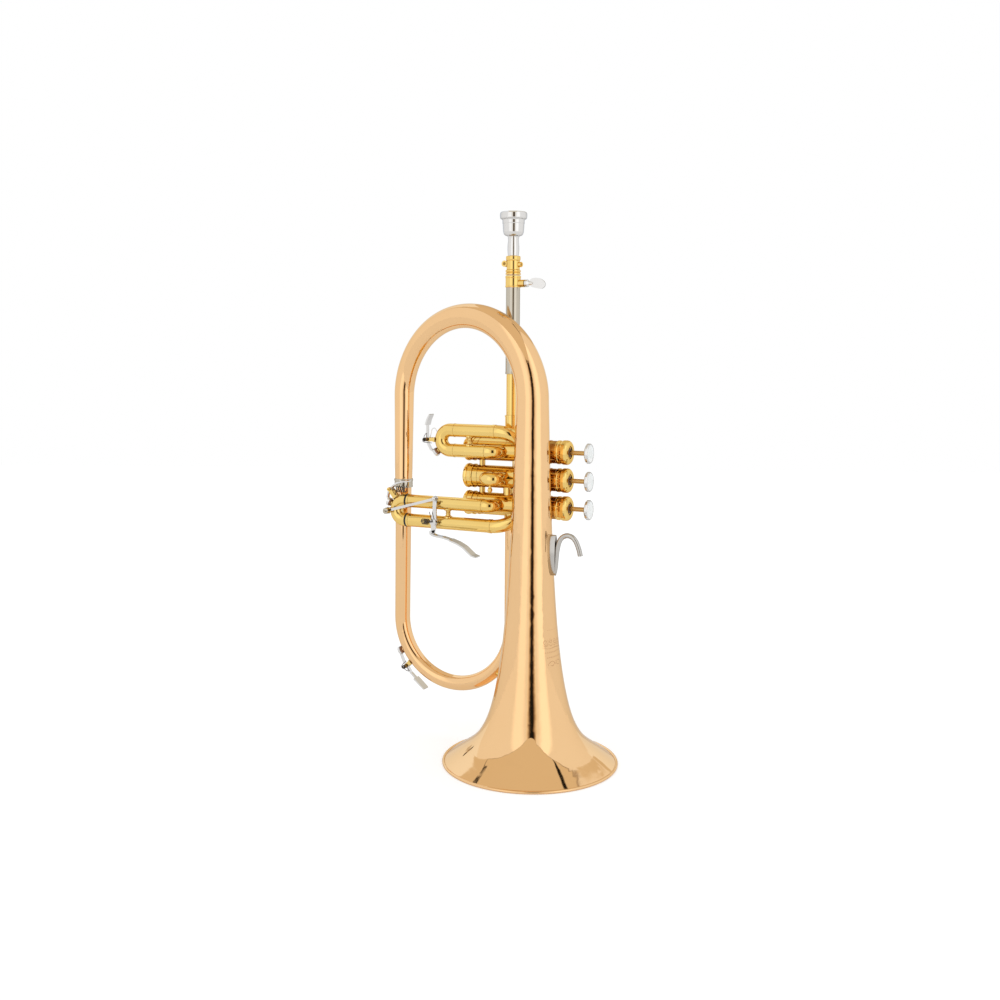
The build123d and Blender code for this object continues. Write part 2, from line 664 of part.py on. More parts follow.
with BuildPart() as third_slide_legs:
    x_tube(-132.9, -62.0, slide_y, third_z[0], leg_r, leg_bore_r)
    x_tube(-132.9, -62.0, slide_y, third_z[1], leg_r, leg_bore_r)
save(third_slide_legs.part, "third_slide_legs")

with BuildPart() as third_slide_o_rings:
    for z in third_z:
        x_tube(-132.9, -131.05, slide_y, z, sleeve_r + 0.35, leg_r)
save(third_slide_o_rings.part, "third_slide_o_rings")


def crook_nipple(c, y, r_out, deg):
    n = (cos(radians(deg)), 0, sin(radians(deg)))
    p = polar(c, r_out - 0.45, deg)
    with BuildSketch(Plane(origin=(p[0], y, p[1]), x_dir=(0, 1, 0), z_dir=n)) as sk7:
        Circle(2.2)
    extrude(sk7.sketch, amount=1.45)
    q = polar(c, r_out - 2.0, deg)
    with BuildSketch(Plane(origin=(q[0], y, q[1]), x_dir=(0, 1, 0), z_dir=n)) as sk8:
        Circle(1.2)
    extrude(sk8.sketch, amount=3.2, mode=Mode.SUBTRACT)


with BuildPart() as first_slide_crook:
    u_crook(first_crook_cx, -83.7, first_z, slide_y, sleeve_r, leg_bore_r)
    crook_nipple(first_c, slide_y, crook_out, 218)
save(first_slide_crook.part, "first_slide_crook")

with BuildPart() as third_slide_crook:
    u_crook(third_crook_cx, -132.9, third_z, slide_y, sleeve_r, leg_bore_r)
    crook_nipple(third_c, slide_y, third_out, 158)
    # stud for the trigger link, on a flanged foot
    with BuildSketch(side_plane(9.6)):
        with Locations(link_end):
            Circle(1.4)
    extrude(amount=10.2)
    with BuildSketch(side_plane(9.6)):
        with Locations(link_end):
            Circle(2.4)
    extrude(amount=3.6)
    with BuildSketch(side_plane(0.7)):
        with Locations(link_end):
            Circle(2.5)
    extrude(amount=1.5)
save(third_slide_crook.part, "third_slide_crook")

# second slide: a short U pulled toward -Y
s2_x = (-50.5, -37.5)
s2_z = valve_z[1]
with BuildPart() as second_slide_sleeves:
    for x in s2_x:
        with BuildSketch(Plane(origin=(x, 13.0, s2_z), x_dir=(1, 0, 0), z_dir=(0, 1, 0))):
            Circle(5.95)
            Circle(5.25, mode=Mode.SUBTRACT)
        extrude(amount=12)
    with BuildSketch(x_plane(-75, valve_y, s2_z)):
        Circle(casing_r)
    extrude(amount=80, mode=Mode.SUBTRACT)
save(second_slide_sleeves.part, "second_slide_sleeves")

with BuildPart() as second_slide_crook:
    with BuildLine() as s2_path:
        Line((s2_x[0], 20.4, s2_z), (s2_x[0], 12.9, s2_z))
        ThreePointArc((s2_x[0], 12.9, s2_z), (-44.0, 6.4, s2_z), (s2_x[1], 12.9, s2_z))
        Line((s2_x[1], 12.9, s2_z), (s2_x[1], 20.4, s2_z))
    with BuildSketch(Plane(origin=(s2_x[0], 20.4, s2_z), x_dir=(1, 0, 0), z_dir=(0, -1, 0))):
        Circle(5.2)
        Circle(4.7, mode=Mode.SUBTRACT)
    sweep(path=s2_path.wires()[0])
    with BuildLine() as s2_arc:
        ThreePointArc((s2_x[0], 12.9, s2_z), (-44.0, 6.4, s2_z), (s2_x[1], 12.9, s2_z))
    with BuildSketch(Plane(origin=(s2_x[0], 12.9, s2_z), x_dir=(1, 0, 0), z_dir=(0, -1, 0))):
        Circle(5.9)
        Circle(4.9, mode=Mode.SUBTRACT)
    sweep(path=s2_arc.wires()[0])
    # ball pull knob under the crook
    with BuildSketch(Plane(origin=(-44.0, 7.2, s2_z - 5.3), z_dir=(0, 0, -1))):
        Circle(1.4)
    extrude(amount=3.2)
    with Locations((-44.0, 7.2, s2_z - 9.6)):
        Sphere(2.3)
save(second_slide_crook.part, "second_slide_crook")

with BuildPart() as slide_braces:
    for x, zs in ((-67.7, first_z), (-89.3, third_z)):
        z0, z1 = zs[1] + 4.4, zs[0] - 4.4
        zm = (z0 + z1) / 2
        with BuildSketch(side_plane(slide_y)):
            with BuildLine():
                Polyline((x, z0), (x + 4.0, z0), (x + 3.9, z0 + 1.6), (x + 2.5, z0 + 2.3),
                         (x + 1.9, zm - 0.6), (x + 2.4, zm - 0.4), (x + 2.4, zm + 0.4),
                         (x + 1.9, zm + 0.6), (x + 2.5, z1 - 2.3), (x + 3.9, z1 - 1.6),
                         (x + 4.0, z1), (x, z1), close=True)
            make_face()
        revolve(axis=Axis((x, slide_y, 0), (0, 0, 1)))
        for z in zs:
            with BuildSketch(x_plane(x - 10, slide_y, z)):
                Circle(sleeve_r)
            extrude(amount=20, mode=Mode.SUBTRACT)
save(slide_braces.part, "slide_braces")


# ---------------------------------------------------------------- water keys
def saddle(c, y, r_out, deg, up, mate):
    n = Vector(cos(radians(deg)), 0, sin(radians(deg)))
    o = polar(c, r_out, deg)
    pl = Plane(origin=(o[0], y, o[1]), x_dir=(0, 1, 0), z_dir=tuple(n))
    with BuildSketch(pl.offset(-0.45)) as sk9:
        Rectangle(7.0, 4.4)
    extrude(sk9.sketch, amount=1.6)
    with BuildSketch(pl) as sk10:
        with Locations((-3.0, 0), (3.0, 0)):
            Rectangle(1.0, 3.4)
    extrude(sk10.sketch, amount=up)
    pc = polar(c, r_out + up, deg)
    for s in (-3.5, 2.5):
        with BuildSketch(Plane(origin=(pc[0], y + s, pc[1]), x_dir=(1, 0, 0), z_dir=(0, 1, 0))) as sk11:
            Circle(1.7)
        extrude(sk11.sketch, amount=1.0)
    with BuildSketch(Plane(origin=(pc[0], y - 4.1, pc[1]), x_dir=(1, 0, 0), z_dir=(0, 1, 0))) as sk12:
        Circle(0.8)
    extrude(sk12.sketch, amount=8.2)
    with BuildSketch(Plane(origin=(pc[0], y - 4.4, pc[1]), x_dir=(1, 0, 0), z_dir=(0, 1, 0))) as sk13:
        Circle(1.4)
    extrude(sk13.sketch, amount=0.9)
    add(mate, mode=Mode.SUBTRACT)


def key_lever(c, y, r_out, deg, up, cork_deg, cork_r, arm, paddle):
    """arm and paddle are centre-line points as (radius from c, angle)."""
    pc = polar(c, r_out + up, deg)
    arm_pts = [polar(c, r, a) for r, a in arm]
    pad_pts = [polar(c, r, a) for r, a in paddle]
    with BuildSketch(side_plane(y)) as sk14:
        with Locations(pc):
            Circle(1.75)
    extrude(sk14.sketch, amount=2.3, both=True)
    with BuildSketch(side_plane(y)) as sk15:
        with BuildLine():
            Polyline(*strip([pc] + arm_pts, [1.1] + [0.8] * len(arm_pts)), close=True)
        make_face()
    extrude(sk15.sketch, amount=1.5, both=True)
    with BuildSketch(side_plane(y)) as sk16:
        with BuildLine():
            Polyline(*strip([pc] + pad_pts, [1.2] + [0.75] * (len(pad_pts) - 1) + [0.45]), close=True)
        make_face()
    extrude(sk16.sketch, amount=1.6, both=True)
    with BuildSketch(side_plane(y)) as sk17:
        with BuildLine():
            Polyline(*strip(pad_pts[-3:], [0.75, 0.7, 0.45]), close=True)
        make_face()
    extrude(sk17.sketch, amount=4.3, both=True)
    n = (cos(radians(cork_deg)), 0, sin(radians(cork_deg)))
    k = polar(c, cork_r + 1.3, cork_deg)
    with BuildSketch(Plane(origin=(k[0], y, k[1]), x_dir=(0, 1, 0), z_dir=n)) as sk18:
        Circle(3.8)
    extrude(sk18.sketch, amount=2.4)
    with BuildSketch(Plane(origin=(k[0], y, k[1]), x_dir=(0, 1, 0), z_dir=n)) as sk19:
        Circle(3.3)
    extrude(sk19.sketch, amount=1.2, mode=Mode.SUBTRACT)
    with BuildSketch(side_plane(y)) as sk20:
        with Locations(pc):
            Circle(0.86)
    extrude(sk20.sketch, amount=5, both=True, mode=Mode.SUBTRACT)


def key_cork(c, y, cork_deg, cork_r):
    n = (cos(radians(cork_deg)), 0, sin(radians(cork_deg)))
    k = polar(c, cork_r, cork_deg)
    with BuildSketch(Plane(origin=(k[0], y, k[1]), x_dir=(0, 1, 0), z_dir=n)) as sk21:
        Circle(3.3)
    extrude(sk21.sketch, amount=2.5)


# first slide key
with BuildPart() as first_key_saddle:
    saddle(first_c, slide_y, crook_out, 180, 8.6, first_slide_crook.part)
save(first_key_saddle.part, "first_key_saddle")

with BuildPart() as first_key_lever:
    key_lever(first_c, slide_y, crook_out, 180, 8.6, 218, crook_out + 1.0,
              [(23.0, 193), (22.0, 205), (19.2, 217)],
              [(24.6, 168), (25.8, 158), (27.4, 151), (29.0, 141), (30.6, 131)])
save(first_key_lever.part, "first_key_lever")

with BuildPart() as first_key_cork:
    key_cork(first_c, slide_y, 218, crook_out + 1.0)
save(first_key_cork.part, "first_key_cork")

# third slide key
with BuildPart() as third_key_saddle:
    saddle(third_c, slide_y, third_out, 129.5, 9.6, third_slide_crook.part)
save(third_key_saddle.part, "third_key_saddle")

with BuildPart() as third_key_lever:
    key_lever(third_c, slide_y, third_out, 129.5, 9.6, 158, third_out + 1.0,
              [(23.8, 138), (22.0, 148), (18.9, 157)],
              [(25.6, 120), (26.0, 108), (26.5, 95), (27.2, 82)])
save(third_key_lever.part, "third_key_lever")

with BuildPart() as third_key_cork:
    key_cork(third_c, slide_y, 158, third_out + 1.0)
save(third_key_cork.part, "third_key_cork")

# bottom bow key
bow_c = (bottom_bow_cx, bottom_bow_cz)
bow_out = bottom_bow_radius + 6.9
with BuildPart() as bow_key_saddle:
    saddle(bow_c, valve_y, bow_out, 222.6, 6.6, bottom_bow.part)
save(bow_key_saddle.part, "bow_key_saddle")

with BuildPart() as bow_key_lever:
    key_lever(bow_c, valve_y, bow_out, 222.6, 6.6, 210, 65.2,
              [(70.4, 218.5), (69.4, 214), (68.4, 210.2)],
              [(71.4, 229), (71.6, 234), (72.2, 239), (73.6, 245)])
save(bow_key_lever.part, "bow_key_lever")

with BuildPart() as bow_key_cork:
    key_cork(bow_c, valve_y, 210, 65.2)
save(bow_key_cork.part, "bow_key_cork")

# ---------------------------------------------------------------- trigger
with BuildPart() as trigger_post:
    with BuildSketch(side_plane(9.0)):
        with Locations((trigger_x, trigger_z)):
            Circle(3.0)
    extrude(amount=9.0 - 4.95)
    with BuildSketch(side_plane(8.0)):
        with Locations((trigger_x, trigger_z)):
            Circle(1.5)
    extrude(amount=8.0 - 1.7)
    with BuildSketch(side_plane(3.1)):
        with Locations((trigger_x, trigger_z)):
            Circle(3.0)
    extrude(amount=1.5)
    with Locations((trigger_x, 1.6, trigger_z)):
        Box(5.0, 0.8, 0.8, mode=Mode.SUBTRACT)
    for z in third_z:
        with BuildSketch(x_plane(-120, slide_y, z)):
            Circle(sleeve_r)
        extrude(amount=30, mode=Mode.SUBTRACT)
save(trigger_post.part, "trigger_post")

with BuildPart() as trigger_lever:
    with BuildSketch(side_plane(4.85)):
        with BuildLine():
            Polyline(*strip([(-100.2, 189.5), (-99.6, 194), (trigger_x, trigger_z), (-98.4, 212),
                             link_top], [1.9, 2.1, 3.0, 1.8, 2.0]), close=True)
        make_face()
        with Locations((trigger_x, trigger_z)):
            Circle(3.6)
        with Locations(link_top):
            Circle(2.7)
    extrude(amount=1.6)
    with BuildSketch(side_plane(4.85)):
        with BuildLine():
            Polyline(*strip([(-100.3, 193.0), (-99.9, 190.4), (-97.4, 189.2), (-94.0, 188.6),
                             (-88.0, 188.0), (-80.0, 186.3), (-72.0, 183.8), (-65.5, 180.6),
                             (-61.0, 177.0), (-57.5, 174.2), (-53.0, 173.0)],
                            [0.8, 0.9, 0.85, 0.85, 0.8, 0.8, 0.75, 0.75, 0.75, 0.7, 0.5]), close=True)
        make_face()
    extrude(amount=6.2)
    with BuildSketch(side_plane(6.4)):
        with BuildLine():
            Polyline(*strip([(-80.0, 186.3), (-72.0, 183.8), (-65.5, 180.6), (-61.0, 177.0),
                             (-57.5, 174.2), (-53.0, 173.0)], [0.75, 0.75, 0.75, 0.75, 0.7, 0.5]), close=True)
        make_face()
    extrude(amount=9.4)
    with BuildSketch(side_plane(8.0)):
        with Locations((trigger_x, trigger_z)):
            Circle(1.56)
        with Locations(link_top):
            Circle(1.26)
    extrude(amount=10, mode=Mode.SUBTRACT)
save(trigger_lever.part, "trigger_lever")

with BuildPart() as trigger_link:
    with BuildSketch(side_plane(3.15)):
        with BuildLine():
            Polyline(*strip([link_top, ((link_top[0] + link_end[0]) / 2, (link_top[1] + link_end[1]) / 2),
                             link_end], [1.3, 1.15, 1.3]), close=True)
        make_face()
        with Locations(link_top):
            Circle(2.3)
        with Locations(link_end):
            Circle(3.3)
        with Locations(link_end):
            Circle(2.0, mode=Mode.SUBTRACT)
    extrude(amount=1.5)
    with BuildSketch(side_plane(5.9)):
        with Locations(link_top):
            Circle(1.2)
    extrude(amount=5.0)
    with BuildSketch(side_plane(1.7)):
        with Locations(link_top):
            Circle(2.0)
    extrude(amount=1.0)
    with BuildSketch(side_plane(5.9)):
        with Locations(link_top):
            Circle(1.9)
    extrude(amount=0.9)
save(trigger_link.part, "trigger_link")

# ---------------------------------------------------------------- hook and braces
with BuildPart() as pinky_hook:
    with BuildLine() as hook_path:
        Spline((21.8, 0, 166.0), (23.4, 0, 178.0), (25.0, 0, 189.0), (28.6, 0, 196.4), (34.0, 0, 198.6),
               (39.6, 0, 196.4), (43.2, 0, 190.6), (44.8, 0, 186.0), (45.6, 0, 182.0))
    with BuildSketch(Plane(origin=(21.8, 0, 166.0), z_dir=hook_path.line % 0)):
        Circle(2.1)
    sweep(path=hook_path.wires()[0])
    with BuildSketch(Plane(origin=(14.0, 0, 181.0), x_dir=(0, 1, 0), z_dir=(1, 0, 0))):
        Ellipse(3.4, 17.5)
    extrude(amount=9.2)
    add(bell_plug.part, mode=Mode.SUBTRACT)
save(pinky_hook.part, "pinky_hook")

with BuildPart() as body_braces:
    # bell to valve casings 1 and 3
    for z in (valve_z[0], valve_z[2]):
        with BuildSketch(Plane(origin=(-2.0, 12.0, z), x_dir=(1, 0, 0), z_dir=(0, 1, 0))):
            Circle(3.2)
        extrude(amount=14)
    # top bow to leadpipe sleeve
    with BuildSketch(Plane(origin=(lead_x, 12.0, 378.0), x_dir=(1, 0, 0), z_dir=(0, 1, 0))):
        Circle(2.4)
    extrude(amount=16)
    # bottom bow to bell
    with BuildLine() as brace_line:
        Line((-51.0, 31.0, 64.2), (-20.0, 12.2, 64.2))
    with BuildSketch(Plane(origin=(-51.0, 31.0, 64.2), z_dir=brace_line.line % 0)):
        Circle(2.2)
    sweep(path=brace_line.wires()[0])
    add(bell_plug.part, mode=Mode.SUBTRACT)
    for z in valve_z:
        with BuildSketch(x_plane(-70, valve_y, z)):
            Circle(casing_r)
        extrude(amount=80, mode=Mode.SUBTRACT)
    with BuildSketch(Plane(origin=(lead_x, valve_y, 360), z_dir=(0, 0, 1))):
        Circle(6.4)
    extrude(amount=40, mode=Mode.SUBTRACT)
    # seat on the bows
    for i, r in enumerate(top_bow_radii):
        with BuildSketch(top_bow_plane(22.5 * i)):
            Circle(r)
    loft(mode=Mode.SUBTRACT)
    for i, r in enumerate(bottom_radii):
        with BuildSketch(bottom_bow_plane(22.5 * i)):
            Circle(r)
    loft(mode=Mode.SUBTRACT)
save(body_braces.part, "body_braces")
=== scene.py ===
import bpy
import json
import math
import numpy as np
from mathutils import Matrix, Vector
from mathutils.bvhtree import BVHTree

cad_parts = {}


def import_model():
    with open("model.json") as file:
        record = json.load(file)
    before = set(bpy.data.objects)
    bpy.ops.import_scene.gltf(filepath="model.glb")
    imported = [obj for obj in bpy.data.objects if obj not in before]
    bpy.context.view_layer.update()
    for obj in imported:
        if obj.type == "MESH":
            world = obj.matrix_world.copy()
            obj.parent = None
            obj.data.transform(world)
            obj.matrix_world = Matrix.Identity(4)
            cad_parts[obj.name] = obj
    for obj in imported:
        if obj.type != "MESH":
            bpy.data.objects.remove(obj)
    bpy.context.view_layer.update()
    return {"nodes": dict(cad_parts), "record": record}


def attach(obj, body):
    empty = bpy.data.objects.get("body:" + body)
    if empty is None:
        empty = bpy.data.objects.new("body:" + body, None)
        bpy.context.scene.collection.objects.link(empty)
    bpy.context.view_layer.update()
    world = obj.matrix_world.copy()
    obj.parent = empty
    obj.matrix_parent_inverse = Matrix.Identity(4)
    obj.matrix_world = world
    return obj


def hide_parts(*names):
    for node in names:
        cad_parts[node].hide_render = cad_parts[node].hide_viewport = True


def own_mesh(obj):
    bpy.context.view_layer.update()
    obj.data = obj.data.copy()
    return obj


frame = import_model()
nodes = frame["nodes"]

MM = 0.001


# ------------------------------------------------------------------ shader helpers
class Graph:
    """Small helper around a node tree."""

    def __init__(self, tree):
        self.t = tree
        self.n = tree.nodes
        self.l = tree.links

    def new(self, kind, **props):
        node = self.n.new(kind)
        for k, v in props.items():
            setattr(node, k, v)
        return node

    def put(self, socket, value):
        if hasattr(value, "is_linked") or hasattr(value, "links"):
            self.l.new(value, socket)
        else:
            socket.default_value = value

    def math(self, op, a, b=0.0, c=0.0, clamp=False):
        node = self.new("ShaderNodeMath", operation=op, use_clamp=clamp)
        self.put(node.inputs[0], a)
        self.put(node.inputs[1], b)
        if op in ("MULTIPLY_ADD", "COMPARE", "SMOOTH_MIN", "SMOOTH_MAX"):
            self.put(node.inputs[2], c)
        return node.outputs[0]

    def step(self, x, lo, hi, a=0.0, b=1.0):
        node = self.new("ShaderNodeMapRange", interpolation_type="SMOOTHSTEP", clamp=True)
        self.put(node.inputs[0], x)
        self.put(node.inputs[1], lo)
        self.put(node.inputs[2], hi)
        self.put(node.inputs[3], a)
        self.put(node.inputs[4], b)
        return node.outputs[0]

    def dot(self, v, const):
        node = self.new("ShaderNodeVectorMath", operation="DOT_PRODUCT")
        self.put(node.inputs[0], v)
        node.inputs[1].default_value = const
        return node.outputs["Value"]

    def mix(self, fac, a, b):
        node = self.new("ShaderNodeMix", data_type="RGBA")
        self.put(node.inputs[0], fac)
        self.put(node.inputs[6], a)
        self.put(node.inputs[7], b)
        return node.outputs[2]

    def mixf(self, fac, a, b):
        node = self.new("ShaderNodeMix", data_type="FLOAT")
        self.put(node.inputs[0], fac)
        self.put(node.inputs[2], a)
        self.put(node.inputs[3], b)
        return node.outputs[0]

    def curve(self, x, points):
        """Smooth curve through (x, y) points, x from -2 to 2 and y from 0 to 2."""
        node = self.new("ShaderNodeFloatCurve")
        self.put(node.inputs["Value"], self.math("MULTIPLY_ADD", x, 0.25, 0.5, clamp=True))
        cu = node.mapping.curves[0]
        pts = [((px + 2.0) / 4.0, py / 2.0) for px, py in points]
        cu.points[0].location = pts[0]
        cu.points[1].location = pts[-1]
        for p in pts[1:-1]:
            cu.points.new(*p)
        node.mapping.update()
        return self.math("MULTIPLY", node.outputs[0], 2.0)

    def noise(self, vec, scale, detail=3.0, rough=0.5, distortion=0.0):
        node = self.new("ShaderNodeTexNoise")
        self.put(node.inputs["Vector"], vec)
        node.inputs["Scale"].default_value = scale
        node.inputs["Detail"].default_value = detail
        node.inputs["Roughness"].default_value = rough
        node.inputs["Distortion"].default_value = distortion
        return node.outputs["Fac"]


def rgb(r, g, b):
    return (r, g, b, 1.0)


def new_material(name):
    m = bpy.data.materials.new(name)
    m.use_nodes = True
    g = Graph(m.node_tree)
    g.n.clear()
    out = g.new("ShaderNodeOutputMaterial")
    bsdf = g.new("ShaderNodeBsdfPrincipled")
    g.l.new(bsdf.outputs[0], out.inputs[0])
    coord = g.new("ShaderNodeTexCoord").outputs["Object"]
    return m, g, bsdf, coord


def metal(name, base, dark, light, rough=0.06, coat=0.0, orange=0.00002, wear=0.35, tint_scale=18.0, edge=None, painted_crevice_shade=0.0, shade=None):
    """Polished or lacquered metal: slow colour drift, cloudy handling marks, fine wipe
    scratches and a faint draw texture."""
    m, g, bsdf, co = new_material(name)
    slow = g.noise(co, tint_scale, 3.0, 0.55)
    cloud = g.noise(co, 70.0, 5.0, 0.6, 0.4)
    stretch = g.new("ShaderNodeMapping")
    g.l.new(co, stretch.inputs["Vector"])
    stretch.inputs["Scale"].default_value = (1.0, 1.0, 14.0)
    stretch.inputs["Rotation"].default_value = (0.35, 0.5, 0.2)
    fine = g.noise(stretch.outputs[0], 260.0, 6.0, 0.7)
    specks = g.noise(co, 1400.0, 2.0, 0.5)
    tone = g.mix(g.step(slow, 0.3, 0.7), rgb(*dark), rgb(*light))
    col = g.mix(0.72, tone, rgb(*base))
    smear = g.math("MULTIPLY", g.step(cloud, 0.52, 0.72), wear)
    col = g.mix(g.math("MULTIPLY", smear, 0.16), col, rgb(*[c * 0.78 for c in base]))
    if painted_crevice_shade:
        # painted shade: colour darkened towards dark brown where pieces meet, driven by ambient occlusion
        ao = g.new("ShaderNodeAmbientOcclusion", samples=6)
        ao.inputs["Distance"].default_value = 0.009
        crevice_shade_mask = g.step(ao.outputs["AO"], 0.12, 0.78, painted_crevice_shade, 0.0)
        col = g.mix(crevice_shade_mask, col, rgb(*[c * k for c, k in zip(base, (0.34, 0.24, 0.18))]))
    if shade is not None:
        # painted reflection: the ends beyond this X are darkened to a mottled dark brown, standing in for the dark
        # surroundings they reflect
        sep = g.new("ShaderNodeSeparateXYZ")
        g.l.new(co, sep.inputs[0])
        mott = g.math("MULTIPLY_ADD", g.step(cloud, 0.35, 0.6), 0.35, 0.5)
        painted_dark_reflection = g.math("MULTIPLY", g.step(sep.outputs[0], shade - 0.003, shade + 0.002), mott)
        col = g.mix(painted_dark_reflection, col, rgb(0.30, 0.115, 0.03))
    g.put(bsdf.inputs["Base Color"], col)
    if edge:
        bsdf.inputs["Specular Tint"].default_value = rgb(*edge)
    bsdf.inputs["Metallic"].default_value = 1.0
    r = g.math("MULTIPLY_ADD", smear, 0.10, rough)
    r = g.math("MULTIPLY_ADD", g.step(fine, 0.62, 0.74), 0.05 * wear, r)
    g.put(bsdf.inputs["Roughness"], r)
    h = g.math("MULTIPLY_ADD", fine, 0.5, g.math("MULTIPLY", specks, 0.35))
    h = g.math("MULTIPLY_ADD", slow, 0.9, h)
    bump = g.new("ShaderNodeBump")
    bump.inputs["Strength"].default_value = 0.35
    bump.inputs["Distance"].default_value = orange
    g.l.new(h, bump.inputs["Height"])
    g.l.new(bump.outputs[0], bsdf.inputs["Normal"])
    if coat:
        bsdf.inputs["Coat Weight"].default_value = coat
        bsdf.inputs["Coat Roughness"].default_value = 0.03
        bsdf.inputs["Coat IOR"].default_value = 1.45
    return m


def brushed(name, base, rough=0.28, axis=(60.0, 1.0, 60.0), stem=None):
    m, g, bsdf, co = new_material(name)
    mp = g.new("ShaderNodeMapping")
    g.l.new(co, mp.inputs["Vector"])
    mp.inputs["Scale"].default_value = axis
    fine = g.noise(mp.outputs[0], 60.0, 6.0, 0.7)
    cloud = g.noise(co, 90.0, 4.0, 0.6)
    col = g.mix(g.step(fine, 0.3, 0.7), rgb(*[c * 0.72 for c in base]), rgb(*base))
    if stem is not None:
        # lacquered stem beyond this X
        sep = g.new("ShaderNodeSeparateXYZ")
        g.l.new(co, sep.inputs[0])
        col = g.mix(g.step(sep.outputs[0], stem, stem + 0.0003), col, rgb(0.62, 0.40, 0.15))
    g.put(bsdf.inputs["Base Color"], col)
    bsdf.inputs["Metallic"].default_value = 1.0
    g.put(bsdf.inputs["Roughness"], g.math("MULTIPLY_ADD", cloud, 0.18, rough - 0.06))
    bump = g.new("ShaderNodeBump")
    bump.inputs["Strength"].default_value = 0.4
    bump.inputs["Distance"].default_value = 0.00003
    g.l.new(fine, bump.inputs["Height"])
    g.l.new(bump.outputs[0], bsdf.inputs["Normal"])
    return m


def pearl_material():
    m, g, bsdf, co = new_material("pearl")
    swirl = g.noise(co, 160.0, 4.0, 0.55, 1.6)
    fine = g.noise(co, 900.0, 3.0, 0.5)
    a = g.mix(g.step(swirl, 0.35, 0.65), rgb(0.80, 0.83, 0.82), rgb(0.94, 0.91, 0.90))
    lw = g.new("ShaderNodeLayerWeight")
    lw.inputs[0].default_value = 0.35
    col = g.mix(g.math("MULTIPLY", lw.outputs[1], 0.35), a, rgb(0.72, 0.86, 0.84))
    g.put(bsdf.inputs["Base Color"], col)
    g.put(bsdf.inputs["Roughness"], g.math("MULTIPLY_ADD", swirl, 0.15, 0.12))
    bsdf.inputs["Coat Weight"].default_value = 0.6
    bsdf.inputs["Coat Roughness"].default_value = 0.06
    bsdf.inputs["Subsurface Weight"].default_value = 0.08
    bsdf.inputs["Subsurface Radius"].default_value = (0.001, 0.001, 0.001)
    bump = g.new("ShaderNodeBump")
    bump.inputs["Strength"].default_value = 0.2
    bump.inputs["Distance"].default_value = 0.00003
    g.l.new(g.math("ADD", swirl, g.math("MULTIPLY", fine, 0.2)), bump.inputs["Height"])
    g.l.new(bump.outputs[0], bsdf.inputs["Normal"])
    return m


def cork_material():
    m, g, bsdf, co = new_material("cork")
    v = g.new("ShaderNodeTexVoronoi")
    v.inputs["Scale"].default_value = 900.0
    g.l.new(co, v.inputs["Vector"])
    grain = g.noise(co, 600.0, 5.0, 0.7)
    col = g.mix(g.step(grain, 0.35, 0.65), rgb(0.16, 0.065, 0.028), rgb(0.42, 0.21, 0.10))
    col = g.mix(g.step(v.outputs["Distance"], 0.0, 0.3, 0.7, 0.0), col, rgb(0.07, 0.03, 0.015))
    g.put(bsdf.inputs["Base Color"], col)
    g.put(bsdf.inputs["Roughness"], g.math("MULTIPLY_ADD", grain, 0.2, 0.7))
    bump = g.new("ShaderNodeBump")
    bump.inputs["Strength"].default_value = 0.8
    bump.inputs["Distance"].default_value = 0.00012
    g.l.new(grain, bump.inputs["Height"])
    g.l.new(bump.outputs[0], bsdf.inputs["Normal"])
    return m


def soft_material(name, a, b, rough, scale, dist, sheen=0.0):
    m, g, bsdf, co = new_material(name)
    n = g.noise(co, scale, 6.0, 0.7)
    g.put(bsdf.inputs["Base Color"], g.mix(g.step(n, 0.3, 0.7), rgb(*a), rgb(*b)))
    g.put(bsdf.inputs["Roughness"], g.math("MULTIPLY_ADD", n, 0.2, rough - 0.1))
    if sheen:
        bsdf.inputs["Sheen Weight"].default_value = sheen
    bump = g.new("ShaderNodeBump")
    bump.inputs["Strength"].default_value = 0.6
    bump.inputs["Distance"].default_value = dist
    g.l.new(n, bump.inputs["Height"])
    g.l.new(bump.outputs[0], bsdf.inputs["Normal"])
    return m


MAT = {
    "rose_brass": metal("rose_brass", (0.93, 0.598, 0.300), (0.925, 0.59, 0.308), (0.96, 0.635, 0.35), 0.040, 0.0, 0.000008,
                        edge=(0.80, 0.74, 0.64)),
    # yellow brass: painted shade darkens its crevices (ambient occlusion)
    "yellow_brass": metal("yellow_brass", (0.93, 0.655, 0.215), (0.88, 0.56, 0.15), (0.96, 0.72, 0.27), 0.05, 0.1,
                          edge=(0.78, 0.60, 0.42), painted_crevice_shade=0.85),
    "nickel_silver": metal("nickel_silver", (0.58, 0.53, 0.44), (0.53, 0.48, 0.39), (0.62, 0.57, 0.48), 0.08, 0.0,
                           edge=(0.55, 0.50, 0.44)),
    "silver_plate": metal("silver_plate", (0.80, 0.785, 0.765), (0.74, 0.72, 0.69), (0.85, 0.84, 0.83), 0.07, 0.0,
                          edge=(0.50, 0.49, 0.48)),
    "monel": brushed("monel", (0.62, 0.60, 0.56), 0.25, stem=0.0179),
    "spring_steel": brushed("spring_steel", (0.13, 0.115, 0.105), 0.3),
    "pearl": pearl_material(),
    "cork": cork_material(),
    "felt": soft_material("felt", (0.10, 0.045, 0.02), (0.20, 0.09, 0.04), 0.95, 700.0, 0.0002, 0.2),
    "rubber": soft_material("rubber", (0.006, 0.006, 0.006), (0.02, 0.02, 0.02), 0.45, 500.0, 0.00003),
    "etched": metal("etched", (0.62, 0.35, 0.17), (0.55, 0.30, 0.14), (0.68, 0.40, 0.20), 0.42, 0.0, 0.00004, 0.6),
}
